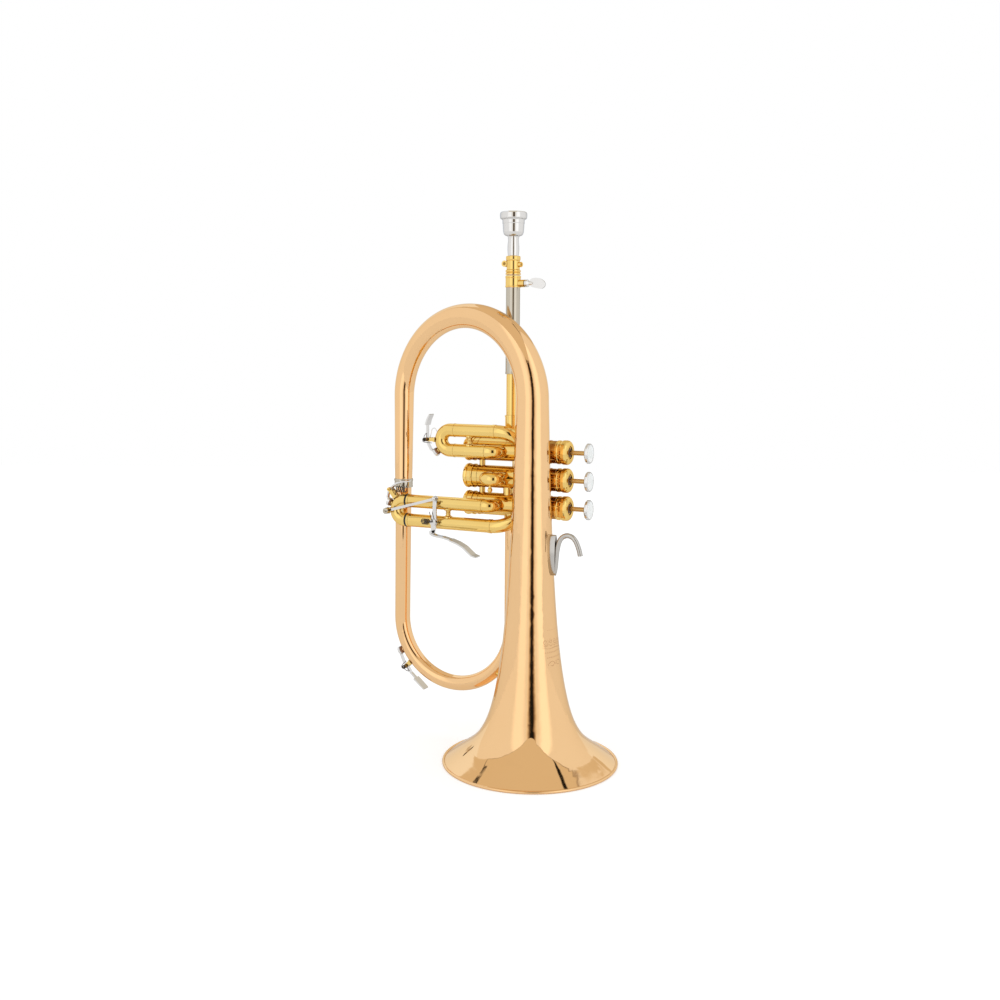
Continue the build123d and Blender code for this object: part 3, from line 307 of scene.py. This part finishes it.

# worn silver: painted shade darkens its crevices (ambient occlusion)
MAT["worn_silver"] = metal("worn_silver", (0.56, 0.535, 0.50), (0.46, 0.435, 0.40), (0.66, 0.64, 0.61), 0.11, 0.0,
                           edge=(0.16, 0.15, 0.14), painted_crevice_shade=0.8)
# casing brass: painted crevice shade plus a painted dark reflection on the outer ends of the casings
MAT["casing_brass"] = metal("casing_brass", (0.90, 0.62, 0.20), (0.84, 0.54, 0.15), (0.94, 0.69, 0.26), 0.06, 0.1,
                            edge=(0.70, 0.50, 0.34), painted_crevice_shade=0.9, shade=0.004)
slot_of = {s["node"]: s["material_slot"] for s in frame["record"]["subparts"]}
for name, obj in nodes.items():
    obj.data.materials.clear()
    own = {"pinky_hook": "worn_silver", "valve_casing_1": "casing_brass", "valve_casing_2": "casing_brass",
           "valve_casing_3": "casing_brass"}
    obj.data.materials.append(MAT[own.get(name, slot_of[name])])


# ------------------------------------------------------------------ mesh helpers
def mesh_object(name, verts, faces, slot_name, body, smooth=True, material=None):
    me = bpy.data.meshes.new(name)
    me.from_pydata([tuple(c * MM for c in v) for v in verts], [], faces)
    me.validate()
    me.update()
    if smooth:
        for p in me.polygons:
            p.use_smooth = True
    me.materials.append(material or MAT[slot_name])
    ob = bpy.data.objects.new(name, me)
    bpy.context.scene.collection.objects.link(ob)
    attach(ob, body)
    return ob


def frames(pts, closed=False):
    """Parallel-transport frames along a polyline."""
    p = [np.array(q, float) for q in pts]
    n = len(p)
    tang = []
    for i in range(n):
        a = p[(i - 1) % n] if (closed or i > 0) else p[i]
        b = p[(i + 1) % n] if (closed or i < n - 1) else p[i]
        t = b - a
        tang.append(t / np.linalg.norm(t))
    ref = np.array([0.0, 0.0, 1.0]) if abs(tang[0][2]) < 0.9 else np.array([1.0, 0.0, 0.0])
    u = np.cross(tang[0], ref)
    u /= np.linalg.norm(u)
    out = []
    for i in range(n):
        u = u - np.dot(u, tang[i]) * tang[i]
        u /= np.linalg.norm(u)
        out.append((p[i], u.copy(), np.cross(tang[i], u)))
    return out


def wire(name, pts, radius, slot_name, body, segs=10, radii=None, flat=None):
    """A round wire along points, with rounded ends. flat squeezes the section across its normal."""
    fr = frames(pts)
    verts, faces = [], []
    n = len(fr)
    for i, (c, u, v) in enumerate(fr):
        r = radii[i] if radii else radius
        fl = flat[i] if flat else 1.0
        for k in range(segs):
            a = 2 * math.pi * k / segs
            verts.append(tuple(c + r * math.cos(a) * u + r * fl * math.sin(a) * v))
    for i in range(n - 1):
        for k in range(segs):
            a, b = i * segs + k, i * segs + (k + 1) % segs
            faces.append((a, b, b + segs, a + segs))
    for end, order in ((0, 1), (n - 1, -1)):
        c, u, v = fr[end]
        t = np.cross(u, v)
        tip = c + (-t if end == 0 else t) * (radii[end] if radii else radius) * 0.5
        verts.append(tuple(tip))
        ti = len(verts) - 1
        for k in range(segs):
            a, b = end * segs + k, end * segs + (k + 1) % segs
            faces.append((b, a, ti) if end == 0 else (a, b, ti))
    return mesh_object(name, verts, faces, slot_name, body)


def helix_points(center, axis, start, turns, radius, length, per=20, phase=0.0):
    ax = np.array(axis, float)
    ax /= np.linalg.norm(ax)
    ref = np.array(start, float)
    ref = ref - np.dot(ref, ax) * ax
    ref /= np.linalg.norm(ref)
    side = np.cross(ax, ref)
    n = max(2, int(turns * per))
    out = []
    for i in range(n + 1):
        t = i / n
        a = phase + 2 * math.pi * turns * t
        out.append(tuple(np.array(center, float) + ax * length * t + radius * (math.cos(a) * ref + math.sin(a) * side)))
    return out


def lathe(name, profile, origin, axis, slot_name, body, segs=96, closed=True, radial=None):
    """Revolves (radius, along) points round an axis. radial(angle index, point index) adds to the radius."""
    ax = np.array(axis, float)
    ax /= np.linalg.norm(ax)
    ref = np.array([0.0, 0.0, 1.0]) if abs(ax[2]) < 0.9 else np.array([1.0, 0.0, 0.0])
    u = np.cross(ax, ref)
    u /= np.linalg.norm(u)
    v = np.cross(ax, u)
    o = np.array(origin, float)
    verts, faces = [], []
    n = len(profile)
    for k in range(segs):
        a = 2 * math.pi * k / segs
        d = math.cos(a) * u + math.sin(a) * v
        for i, (r, h) in enumerate(profile):
            rr = r + (radial(k, i) if radial else 0.0)
            verts.append(tuple(o + ax * h + d * rr))
    m = n if closed else n - 1
    for k in range(segs):
        k2 = (k + 1) % segs
        for i in range(m):
            j = (i + 1) % n
            faces.append((k * n + i, k2 * n + i, k2 * n + j, k * n + j))
    ob = mesh_object(name, verts, faces, slot_name, body)
    return ob


def sharpen(ob, degrees=35.0):
    ob.data.set_sharp_from_angle(angle=math.radians(degrees))
    return ob


# ------------------------------------------------------------------ springs inside the valves
valve_z = (267.0, 242.2, 217.4)
for i, z in enumerate(valve_z, 1):
    pts = []
    n = 8 * 22
    for k in range(n + 1):
        t = k / n
        # closed end coils, open middle
        s = t + 0.035 * math.sin(2 * math.pi * t) * -1.0
        a = 2 * math.pi * 8 * t
        pts.append((-77.5 + 28.9 * s, 31.0 + 5.6 * math.cos(a), z + 5.6 * math.sin(a)))
    sp = wire("valve_spring_coil_%d" % i, pts, 0.42, "spring_steel", "instrument", segs=8)
    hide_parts("valve_spring_%d" % i)
    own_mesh(sp)


# ------------------------------------------------------------------ key and trigger springs
def polar(c, r, deg):
    return (c[0] + r * math.cos(math.radians(deg)), c[1] + r * math.sin(math.radians(deg)))


def smooth_curve(pts, per=8):
    """Catmull-Rom through the points."""
    p = [np.array(q, float) for q in pts]
    p = [2 * p[0] - p[1]] + p + [2 * p[-1] - p[-2]]
    out = []
    for i in range(1, len(p) - 2):
        for k in range(per):
            t = k / per
            a, b, c, d = p[i - 1], p[i], p[i + 1], p[i + 2]
            out.append(tuple(0.5 * ((2 * b) + (-a + c) * t + (2 * a - 5 * b + 4 * c - d) * t * t + (-a + 3 * b - 3 * c + d) * t ** 3)))
    out.append(tuple(p[-2]))
    return out


def key_spring(name, c, y, r_pivot, deg, toward, body, up):
    """Torsion spring on the outer end of the key's pin, with one leg to the tube and one
    along the lever."""
    px, pz = polar(c, r_pivot, deg)
    n = (math.cos(math.radians(deg)), math.sin(math.radians(deg)))
    t = (-n[1] * toward, n[0] * toward)
    start = (px + 1.45 * n[0], y - 4.55, pz + 1.45 * n[1])
    coil = helix_points((px, y - 4.6, pz), (0, -1, 0), (n[0], 0, n[1]), 4.0, 1.5, 2.3, per=18)
    leg_a = [(px + n[0] * 0.6 + t[0] * 5.5, y - 2.2, pz + n[1] * 0.6 + t[1] * 5.5),
             (px + n[0] * 1.5 + t[0] * 3.0, y - 3.8, pz + n[1] * 1.5 + t[1] * 3.0)]
    last = coil[-1]
    leg_b = [(last[0] - t[0] * 2.2 - n[0] * 1.2, last[1], last[2] - t[1] * 2.2 - n[1] * 1.2),
             (px - n[0] * (up - 1.6) - t[0] * 3.0, y - 5.0, pz - n[1] * (up - 1.6) - t[1] * 3.0)]
    pts = smooth_curve(leg_a + [coil[0]], 5)[:-1] + coil + smooth_curve([coil[-1]] + leg_b, 5)[1:]
    wire(name, pts, 0.28, "spring_steel", body, segs=8)


first_c, third_c, bow_c = (-87.5, 275.2), (-134.9, 208.3), (-90.0, 106.0)
key_spring("first_key_spring", first_c, 13.3, 15.2 + 8.6, 180, -1, "first_slide", 8.6)
key_spring("bow_key_spring", bow_c, 31.0, 63.9 + 6.6, 222.6, 1, "instrument", 6.6)

# coil under the third key's finger plate, one leg on the crook, the other under the plate
coil = helix_points((-144.8, 13.3, 227.5), (1, 0, 0), (0, 0, -1), 4.5, 2.6, 11.0, per=22)
sp = wire("third_key_spring", smooth_curve([(-146.4, 13.3, 218.4), (-145.6, 13.3, 221.2), coil[0]], 5)[:-1] + coil
          + smooth_curve([coil[-1], (-132.9, 13.3, 232.0), (-132.3, 13.3, 234.0)], 5)[1:],
          0.40, "spring_steel", "third_slide", segs=8)
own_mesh(sp)

# wire stop loop between the first crook and its lever
wire("first_key_loop", smooth_curve([(-108.6, 13.0, 276.6), (-107.8, 13.0, 279.8), (-106.6, 13.0, 284.2),
                                     (-104.2, 13.0, 285.7), (-102.2, 13.0, 284.0), (-101.0, 13.2, 281.4)], 6),
     0.32, "silver_plate", "first_slide", segs=8)

# trigger return spring beside the pivot post, in front of the lower sleeve
coil = helix_points((-105.0, 4.1, 200.5), (-1, 0, 0), (0, 0, 1), 5.0, 2.4, 5.8, per=20)
wire("trigger_spring", smooth_curve([(-99.8, 0.7, 200.9), (-103.0, 0.7, 201.6), coil[0]], 5)[:-1] + coil
     + smooth_curve([coil[-1], (-112.2, 4.6, 202.0), (-113.6, 6.4, 200.6), (-114.4, 7.2, 199.6)], 5)[1:],
     0.32, "spring_steel", "instrument", segs=8)
wire("trigger_spring_tail", smooth_curve([(-99.2, 0.9, 200.6), (-100.0, 0.8, 203.4), (-101.0, 0.8, 206.8), (-102.0, 0.8, 210.2)], 5),
     0.34, "spring_steel", "instrument", segs=8)


# felt washers in the recesses of the top caps
for i, z in enumerate(valve_z, 1):
    sharpen(lathe("stem_felt_%d" % i, [(2.35, 22.02), (3.9, 22.02), (4.0, 22.3), (3.95, 22.9), (3.6, 23.25), (2.7, 23.3), (2.35, 23.1)],
                  (0.0, 31.0, z), (1, 0, 0), "felt", "instrument", segs=64), 40)

# nut on the end of the link stud, screw heads with driver slots on the key pins
def slotted_head(name, x, y, z, r, h, slot_name, body):
    """Domed screw head facing -Y with a straight slot cut across it."""
    verts, faces = [], []
    rings = ((r, 0.0), (r, h * 0.55), (r * 0.88, h * 0.85), (r * 0.62, h), (0.30 * r, h * 1.04))
    segs = 48
    for rr, hh in rings:
        for k in range(segs):
            a = 2 * math.pi * k / segs
            px, pz = rr * math.cos(a), rr * math.sin(a)
            d = hh
            if abs(pz) < 0.16 * r and hh > 0.5 * h:
                d = h * 0.45
            verts.append((x + px, y - d, z + pz))
    for i in range(len(rings) - 1):
        for k in range(segs):
            k2 = (k + 1) % segs
            faces.append((i * segs + k, i * segs + k2, (i + 1) * segs + k2, (i + 1) * segs + k))
    verts.append((x, y - h * 0.45, z))
    top = len(verts) - 1
    verts.append((x, y, z))
    low = len(verts) - 1
    last = (len(rings) - 1) * segs
    for k in range(segs):
        k2 = (k + 1) % segs
        faces.append((last + k, last + k2, top))
        faces.append((k2, k, low))
    return sharpen(mesh_object(name, verts, faces, slot_name, body), 32)


slotted_head("link_stud_nut", -147.4, -0.8, 208.3, 2.7, 1.4, "nickel_silver", "third_slide")
slotted_head("link_top_screw", -97.9, 0.7, 221.9, 1.8, 0.8, "silver_plate", "link")
for label, c, y, rp, deg, body in (("first", first_c, 13.3, 23.8, 180, "first_slide"),
                                   ("third", third_c, 13.3, 24.5, 129.5, "third_slide")):
    px, pz = polar(c, rp, deg)
    slotted_head(label + "_key_screw", px, y - 4.4, pz, 1.5, 0.7, "yellow_brass", body)


# ------------------------------------------------------------------ bell engraving (a plain ornament)
def bell_r(z):
    return 76.2 * ((z + 13.0) / 13.0) ** -0.515


ENG_ANGLE = math.radians(-12.0)


bell = nodes["bell"]
bell_tree = BVHTree.FromPolygons([bell.matrix_world @ v.co for v in bell.data.vertices],
                                 [tuple(p.vertices) for p in bell.data.polygons])


def on_bell(s, z, lift=0.0):
    """Point on the bell's surface: s is arc length from the ornament's centre line."""
    r = bell_r(z)
    a = ENG_ANGLE + s / r
    d = Vector((math.cos(a), math.sin(a), 0.0))
    p, n, _, _ = bell_tree.ray_cast(d * (r + 8.0) * MM + Vector((0.0, 0.0, z * MM)), -d)
    if n.dot(d) < 0:
        n = -n
    return tuple((p + n * lift * MM) / MM)


def engrave(name, strokes, width=0.26, lift=0.035):
    verts, faces = [], []
    for st in strokes:
        pts = smooth_curve([(a, b, 0.0) for a, b in st], 5) if len(st) > 2 else [(a, b, 0.0) for a, b in st]
        base = len(verts)
        n = len(pts)
        for i in range(n):
            a = pts[max(i - 1, 0)]
            b = pts[min(i + 1, n - 1)]
            dx, dz = b[0] - a[0], b[1] - a[1]
            l = math.hypot(dx, dz) or 1.0
            nx, nz = -dz / l, dx / l
            w = width * (0.35 + 0.65 * math.sin(math.pi * min(max(i / max(n - 1, 1), 0.06), 0.94)))
            for q, lf in ((-1.0, 0.004), (-0.4, lift), (0.4, lift), (1.0, 0.004)):
                verts.append(on_bell(pts[i][0] + nx * w * q, pts[i][1] + nz * w * q, lf))
        for i in range(n - 1):
            for k in range(3):
                a = base + i * 4 + k
                faces.append((a, a + 1, a + 5, a + 4))
    return mesh_object(name, verts, faces, "rose_brass", "instrument", material=MAT["etched"])


def spiral(cx, cz, r0, turns, a0, hand=1, squash=1.0):
    out = []
    n = int(turns * 10)
    for i in range(n + 1):
        t = i / n
        a = a0 + hand * 2 * math.pi * turns * t
        r = r0 * (1 - 0.85 * t)
        out.append((cx + r * math.cos(a), cz + r * squash * math.sin(a)))
    return out


strokes = []
# upper dashes
for k in range(7):
    strokes.append([(-7.2 + 2.3 * k, 118.0), (-6.0 + 2.3 * k, 118.4)])
# scroll row
for k, (cx, r) in enumerate(((-9.5, 3.0), (-3.6, 2.2), (1.2, 2.4), (6.0, 2.0), (10.4, 2.6))):
    strokes.append(spiral(cx, 108.6 + 0.5 * math.sin(k * 2.1), r, 1.4, math.pi * (0.2 + 0.3 * k), 1 if k % 2 else -1))
    strokes.append([(cx - r, 106.4), (cx, 104.9), (cx + r * 1.2, 106.8)])
strokes.append([(-13.0, 104.2), (-6.0, 102.8), (2.0, 103.4), (9.0, 102.6), (13.4, 104.0)])
# fine dots and leaves below
for row, z in enumerate((99.6, 95.4)):
    for k in range(11 - 2 * row):
        x = -11.0 + row * 2.0 + 2.1 * k
        strokes.append([(x, z - 0.5), (x + 0.5, z + 0.5), (x + 1.0, z - 0.4)])
for s in (-1, 1):
    strokes.append([(s * 1.0, 90.6), (s * 4.0, 92.2), (s * 7.4, 90.8), (s * 9.0, 88.8)])
    strokes.append([(s * 1.0, 90.0), (s * 3.6, 88.4), (s * 6.4, 88.8)])
strokes.append(spiral(0.0, 90.4, 1.5, 1.2, 0.3))
engrave("bell_ornament", strokes)


# ------------------------------------------------------------------ stage
def floor():
    s = 2.4
    me = bpy.data.meshes.new("floor")
    me.from_pydata([(-s, -1.0, 0), (s, -1.0, 0), (s, 2.6, 0), (-s, 2.6, 0)], [], [(0, 1, 2, 3)])
    ob = bpy.data.objects.new("floor", me)
    bpy.context.scene.collection.objects.link(ob)
    rot = Matrix.Rotation(math.atan2(0.4305, 0.9026), 4, "Z")
    ob.matrix_world = rot
    m = bpy.data.materials.new("floor")
    m.use_nodes = True
    g = Graph(m.node_tree)
    g.n.clear()
    out = g.new("ShaderNodeOutputMaterial")
    diff = g.new("ShaderNodeBsdfDiffuse")
    co = g.new("ShaderNodeTexCoord").outputs["Object"]
    n = g.noise(co, 6.0, 3.0)
    g.put(diff.inputs["Color"], g.mix(n, rgb(0.70, 0.70, 0.70), rgb(0.73, 0.73, 0.73)))
    em = g.new("ShaderNodeEmission")
    em.inputs["Color"].default_value = rgb(1, 1, 1)
    lp = g.new("ShaderNodeLightPath")
    g.put(em.inputs["Strength"], g.mixf(lp.outputs["Is Glossy Ray"], 0.42, 0.20))
    add = g.new("ShaderNodeAddShader")
    g.l.new(diff.outputs[0], add.inputs[0])
    g.l.new(em.outputs[0], add.inputs[1])
    g.l.new(add.outputs[0], out.inputs[0])
    me.materials.append(m)
    return ob


floor()

CAM_RIGHT = (0.9026, 0.4305, 0.0)
CAM_BACK = (0.4305, -0.9026, 0.0)


def world():
    """A white light tent: two curtains that meet in a dark slot in front, bright panels on
    either side of it, and a warm ceiling sheet with two gaps."""
    w = bpy.data.worlds.new("tent")
    bpy.context.scene.world = w
    w.use_nodes = True
    g = Graph(w.node_tree)
    g.n.clear()
    out = g.new("ShaderNodeOutputWorld")
    bg = g.new("ShaderNodeBackground")
    g.l.new(bg.outputs[0], out.inputs[0])
    d = g.new("ShaderNodeTexCoord").outputs["Generated"]
    a = g.dot(d, CAM_RIGHT)
    b = g.dot(d, CAM_BACK)
    c = g.dot(d, (0.0, 0.0, 1.0))
    az = g.math("MULTIPLY", g.math("ARCTAN2", a, b), 180.0 / math.pi)
    side = g.math("SUBTRACT", az, 3.0)
    off = g.math("ABSOLUTE", side)
    # curtains
    bright = g.math("MULTIPLY", g.step(off, 15.0, 31.0), g.step(off, 45.0, 59.0, 1.0, 0.0))
    bright = g.math("MULTIPLY", bright, g.step(side, -10.0, 10.0, 0.24, 0.34))
    wall = g.math("ADD", bright, 0.93)
    fold = g.step(g.math("ABSOLUTE", g.math("SUBTRACT", az, 4.0)), 136.5, 139.0, 0.0, 1.0)
    slots = [g.math("MULTIPLY", wall, g.math("MULTIPLY_ADD", g.step(off, lo, hi), 0.985, 0.015))
             for lo, hi in ((3.0, 14.0), (3.4, 15.0), (3.8, 16.4))]
    # ceiling sheet, in ceiling-plane coordinates
    cz = g.math("MAXIMUM", c, 0.02)
    u = g.math("DIVIDE", a, cz)
    v = g.math("DIVIDE", b, cz)
    left = g.curve(v, ((-2.0, 1.38), (-1.5, 1.2), (-0.96, 0.96), (-0.33, 0.73), (-0.02, 0.64), (0.37, 0.58),
                       (0.81, 0.49), (1.23, 0.32), (1.46, 0.11), (1.54, 0.0), (2.0, 0.0)))
    right = g.curve(v, ((-2.0, 1.42), (-1.56, 1.23), (-1.03, 1.01), (-0.67, 0.82), (-0.51, 0.72), (-0.38, 0.61),
                        (-0.27, 0.55), (-0.09, 0.51), (0.18, 0.48), (0.65, 0.45), (1.13, 0.34), (1.46, 0.16),
                        (1.56, 0.0), (2.0, 0.0)))
    lateral = g.math("MINIMUM", g.math("ADD", left, u), g.math("SUBTRACT", right, u))
    behind = g.math("MAXIMUM", g.math("SUBTRACT", g.math("ABSOLUTE", u), 0.58), 0.0)
    behind = g.math("ADD", g.math("MULTIPLY", behind, 1.6), g.math("ADD", v, 0.42))
    behind = g.math("ADD", behind, g.math("MULTIPLY", g.math("MAXIMUM", g.math("ADD", u, 0.3), 0.0), 6.0))
    inside = g.math("MINIMUM", lateral, g.math("MULTIPLY", behind, 0.6))
    ceil = g.step(inside, -0.010, 0.010)
    edge = g.math("MULTIPLY", g.step(g.math("ABSOLUTE", lateral), 0.0, 0.014, 1.0, 0.0), g.step(c, 0.15, 0.3))
    edge = g.math("MULTIPLY", edge, g.step(behind, 0.06, 0.16))
    edge = g.math("MULTIPLY", edge, g.step(v, -0.47, -0.40))

    def gap(ax, ay, bx, by, w0, w1):
        """dark gap between two points of the ceiling plane, widening from w0 to w1"""
        lx, ly = bx - ax, by - ay
        ll = lx * lx + ly * ly
        px = g.math("SUBTRACT", u, ax)
        py = g.math("SUBTRACT", v, ay)
        t = g.math("DIVIDE", g.math("ADD", g.math("MULTIPLY", px, lx), g.math("MULTIPLY", py, ly)), ll)
        cross = g.math("DIVIDE", g.math("ABSOLUTE", g.math("SUBTRACT", g.math("MULTIPLY", px, ly), g.math("MULTIPLY", py, lx))), math.sqrt(ll))
        width = g.math("MULTIPLY_ADD", t, w1 - w0, w0)
        m = g.step(g.math("SUBTRACT", cross, width), -0.008, 0.008, 1.0, 0.0)
        m = g.math("MULTIPLY", m, g.math("GREATER_THAN", t, 0.0))
        return g.math("MULTIPLY", m, g.math("LESS_THAN", t, 1.0))

    gaps = g.math("MAXIMUM", gap(-0.74, -0.43, -0.645, -0.485, 0.004, 0.009), gap(0.48, 0.11, 0.36, -0.32, 0.006, 0.036))
    gaps = g.math("MAXIMUM", gaps, gap(-0.648, -0.485, -0.60, -0.40, 0.008, 0.010))
    gaps = g.math("MULTIPLY", gaps, g.step(c, 0.15, 0.3))
    ceil_col = rgb(0.76, 0.69, 0.57)
    comb = g.new("ShaderNodeCombineColor")
    for k, cool in enumerate((0.07, 0.14, 0.24)):
        g.put(comb.inputs[k], g.math("MULTIPLY_ADD", fold, cool, slots[k]))
    col = g.mix(ceil, comb.outputs[0], ceil_col)
    col = g.mix(g.math("MULTIPLY", edge, 0.72), col, rgb(0.24, 0.17, 0.11))
    col = g.mix(gaps, col, rgb(0.012, 0.010, 0.008))
    lp = g.new("ShaderNodeLightPath")
    col = g.mix(lp.outputs["Is Diffuse Ray"], col, rgb(0.92, 0.92, 0.92))
    col = g.mix(lp.outputs["Is Camera Ray"], col, rgb(1.0, 1.0, 1.0))
    g.l.new(col, bg.inputs["Color"])
    bg.inputs["Strength"].default_value = 1.0


world()


# ------------------------------------------------------------------ camera
CAM_LOC = (0.4001, -0.9009, 0.3497)
CAM_YAW = 25.6027
CAM_ROLL = 0.42
CAM_FOCAL = 1133.07 / 1000.0
CAM_DROP = (500.0 - 358.88) / 1000.0


def camera():
    """Level camera whose frame is cut off-centre below the lens axis. The offset is tied to the
    camera standing in this place, so a camera moved round the object has a centred frame."""
    cd = bpy.data.cameras.new("camera")
    cd.sensor_width = 36.0
    cd.lens = 36.0 * CAM_FOCAL
    cd.clip_start = 0.01
    ob = bpy.data.objects.new("camera", cd)
    bpy.context.scene.collection.objects.link(ob)
    yaw, roll = math.radians(CAM_YAW), math.radians(CAM_ROLL)
    h = Vector((-math.sin(yaw), math.cos(yaw), 0.0))
    right = Vector((math.cos(yaw), math.sin(yaw), 0.0))
    up = Vector((0.0, 0.0, 1.0))
    r2 = right * math.cos(roll) + up * math.sin(roll)
    u2 = up * math.cos(roll) - right * math.sin(roll)
    m = Matrix.Identity(4)
    for i in range(3):
        m[i][0], m[i][1], m[i][2] = r2[i], u2[i], -h[i]
    m[0][3], m[1][3], m[2][3] = CAM_LOC
    ob.matrix_world = m
    cd.shift_y = -CAM_DROP
    bpy.context.scene.camera = ob
    curve = cd.driver_add("shift_y")
    drv = curve.driver
    drv.type = "SUM"
    copies = 20
    for _ in range(copies):
        var = drv.variables.new()
        var.type = "TRANSFORMS"
        var.targets[0].id = ob
        var.targets[0].transform_type = "LOC_Y"
        var.targets[0].transform_space = "WORLD_SPACE"
    while curve.modifiers:
        curve.modifiers.remove(curve.modifiers[0])
    at = CAM_LOC[1] * copies
    for x, y in ((at - 0.06, 0.0), (at - 0.02, -CAM_DROP), (at + 0.02, 0.0)):
        curve.keyframe_points.insert(x, y)
    for k in curve.keyframe_points:
        k.interpolation = "CONSTANT"
    curve.extrapolation = "CONSTANT"


camera()
bpy.context.scene.view_settings.view_transform = "Standard"
bpy.context.scene.view_settings.look = "None"
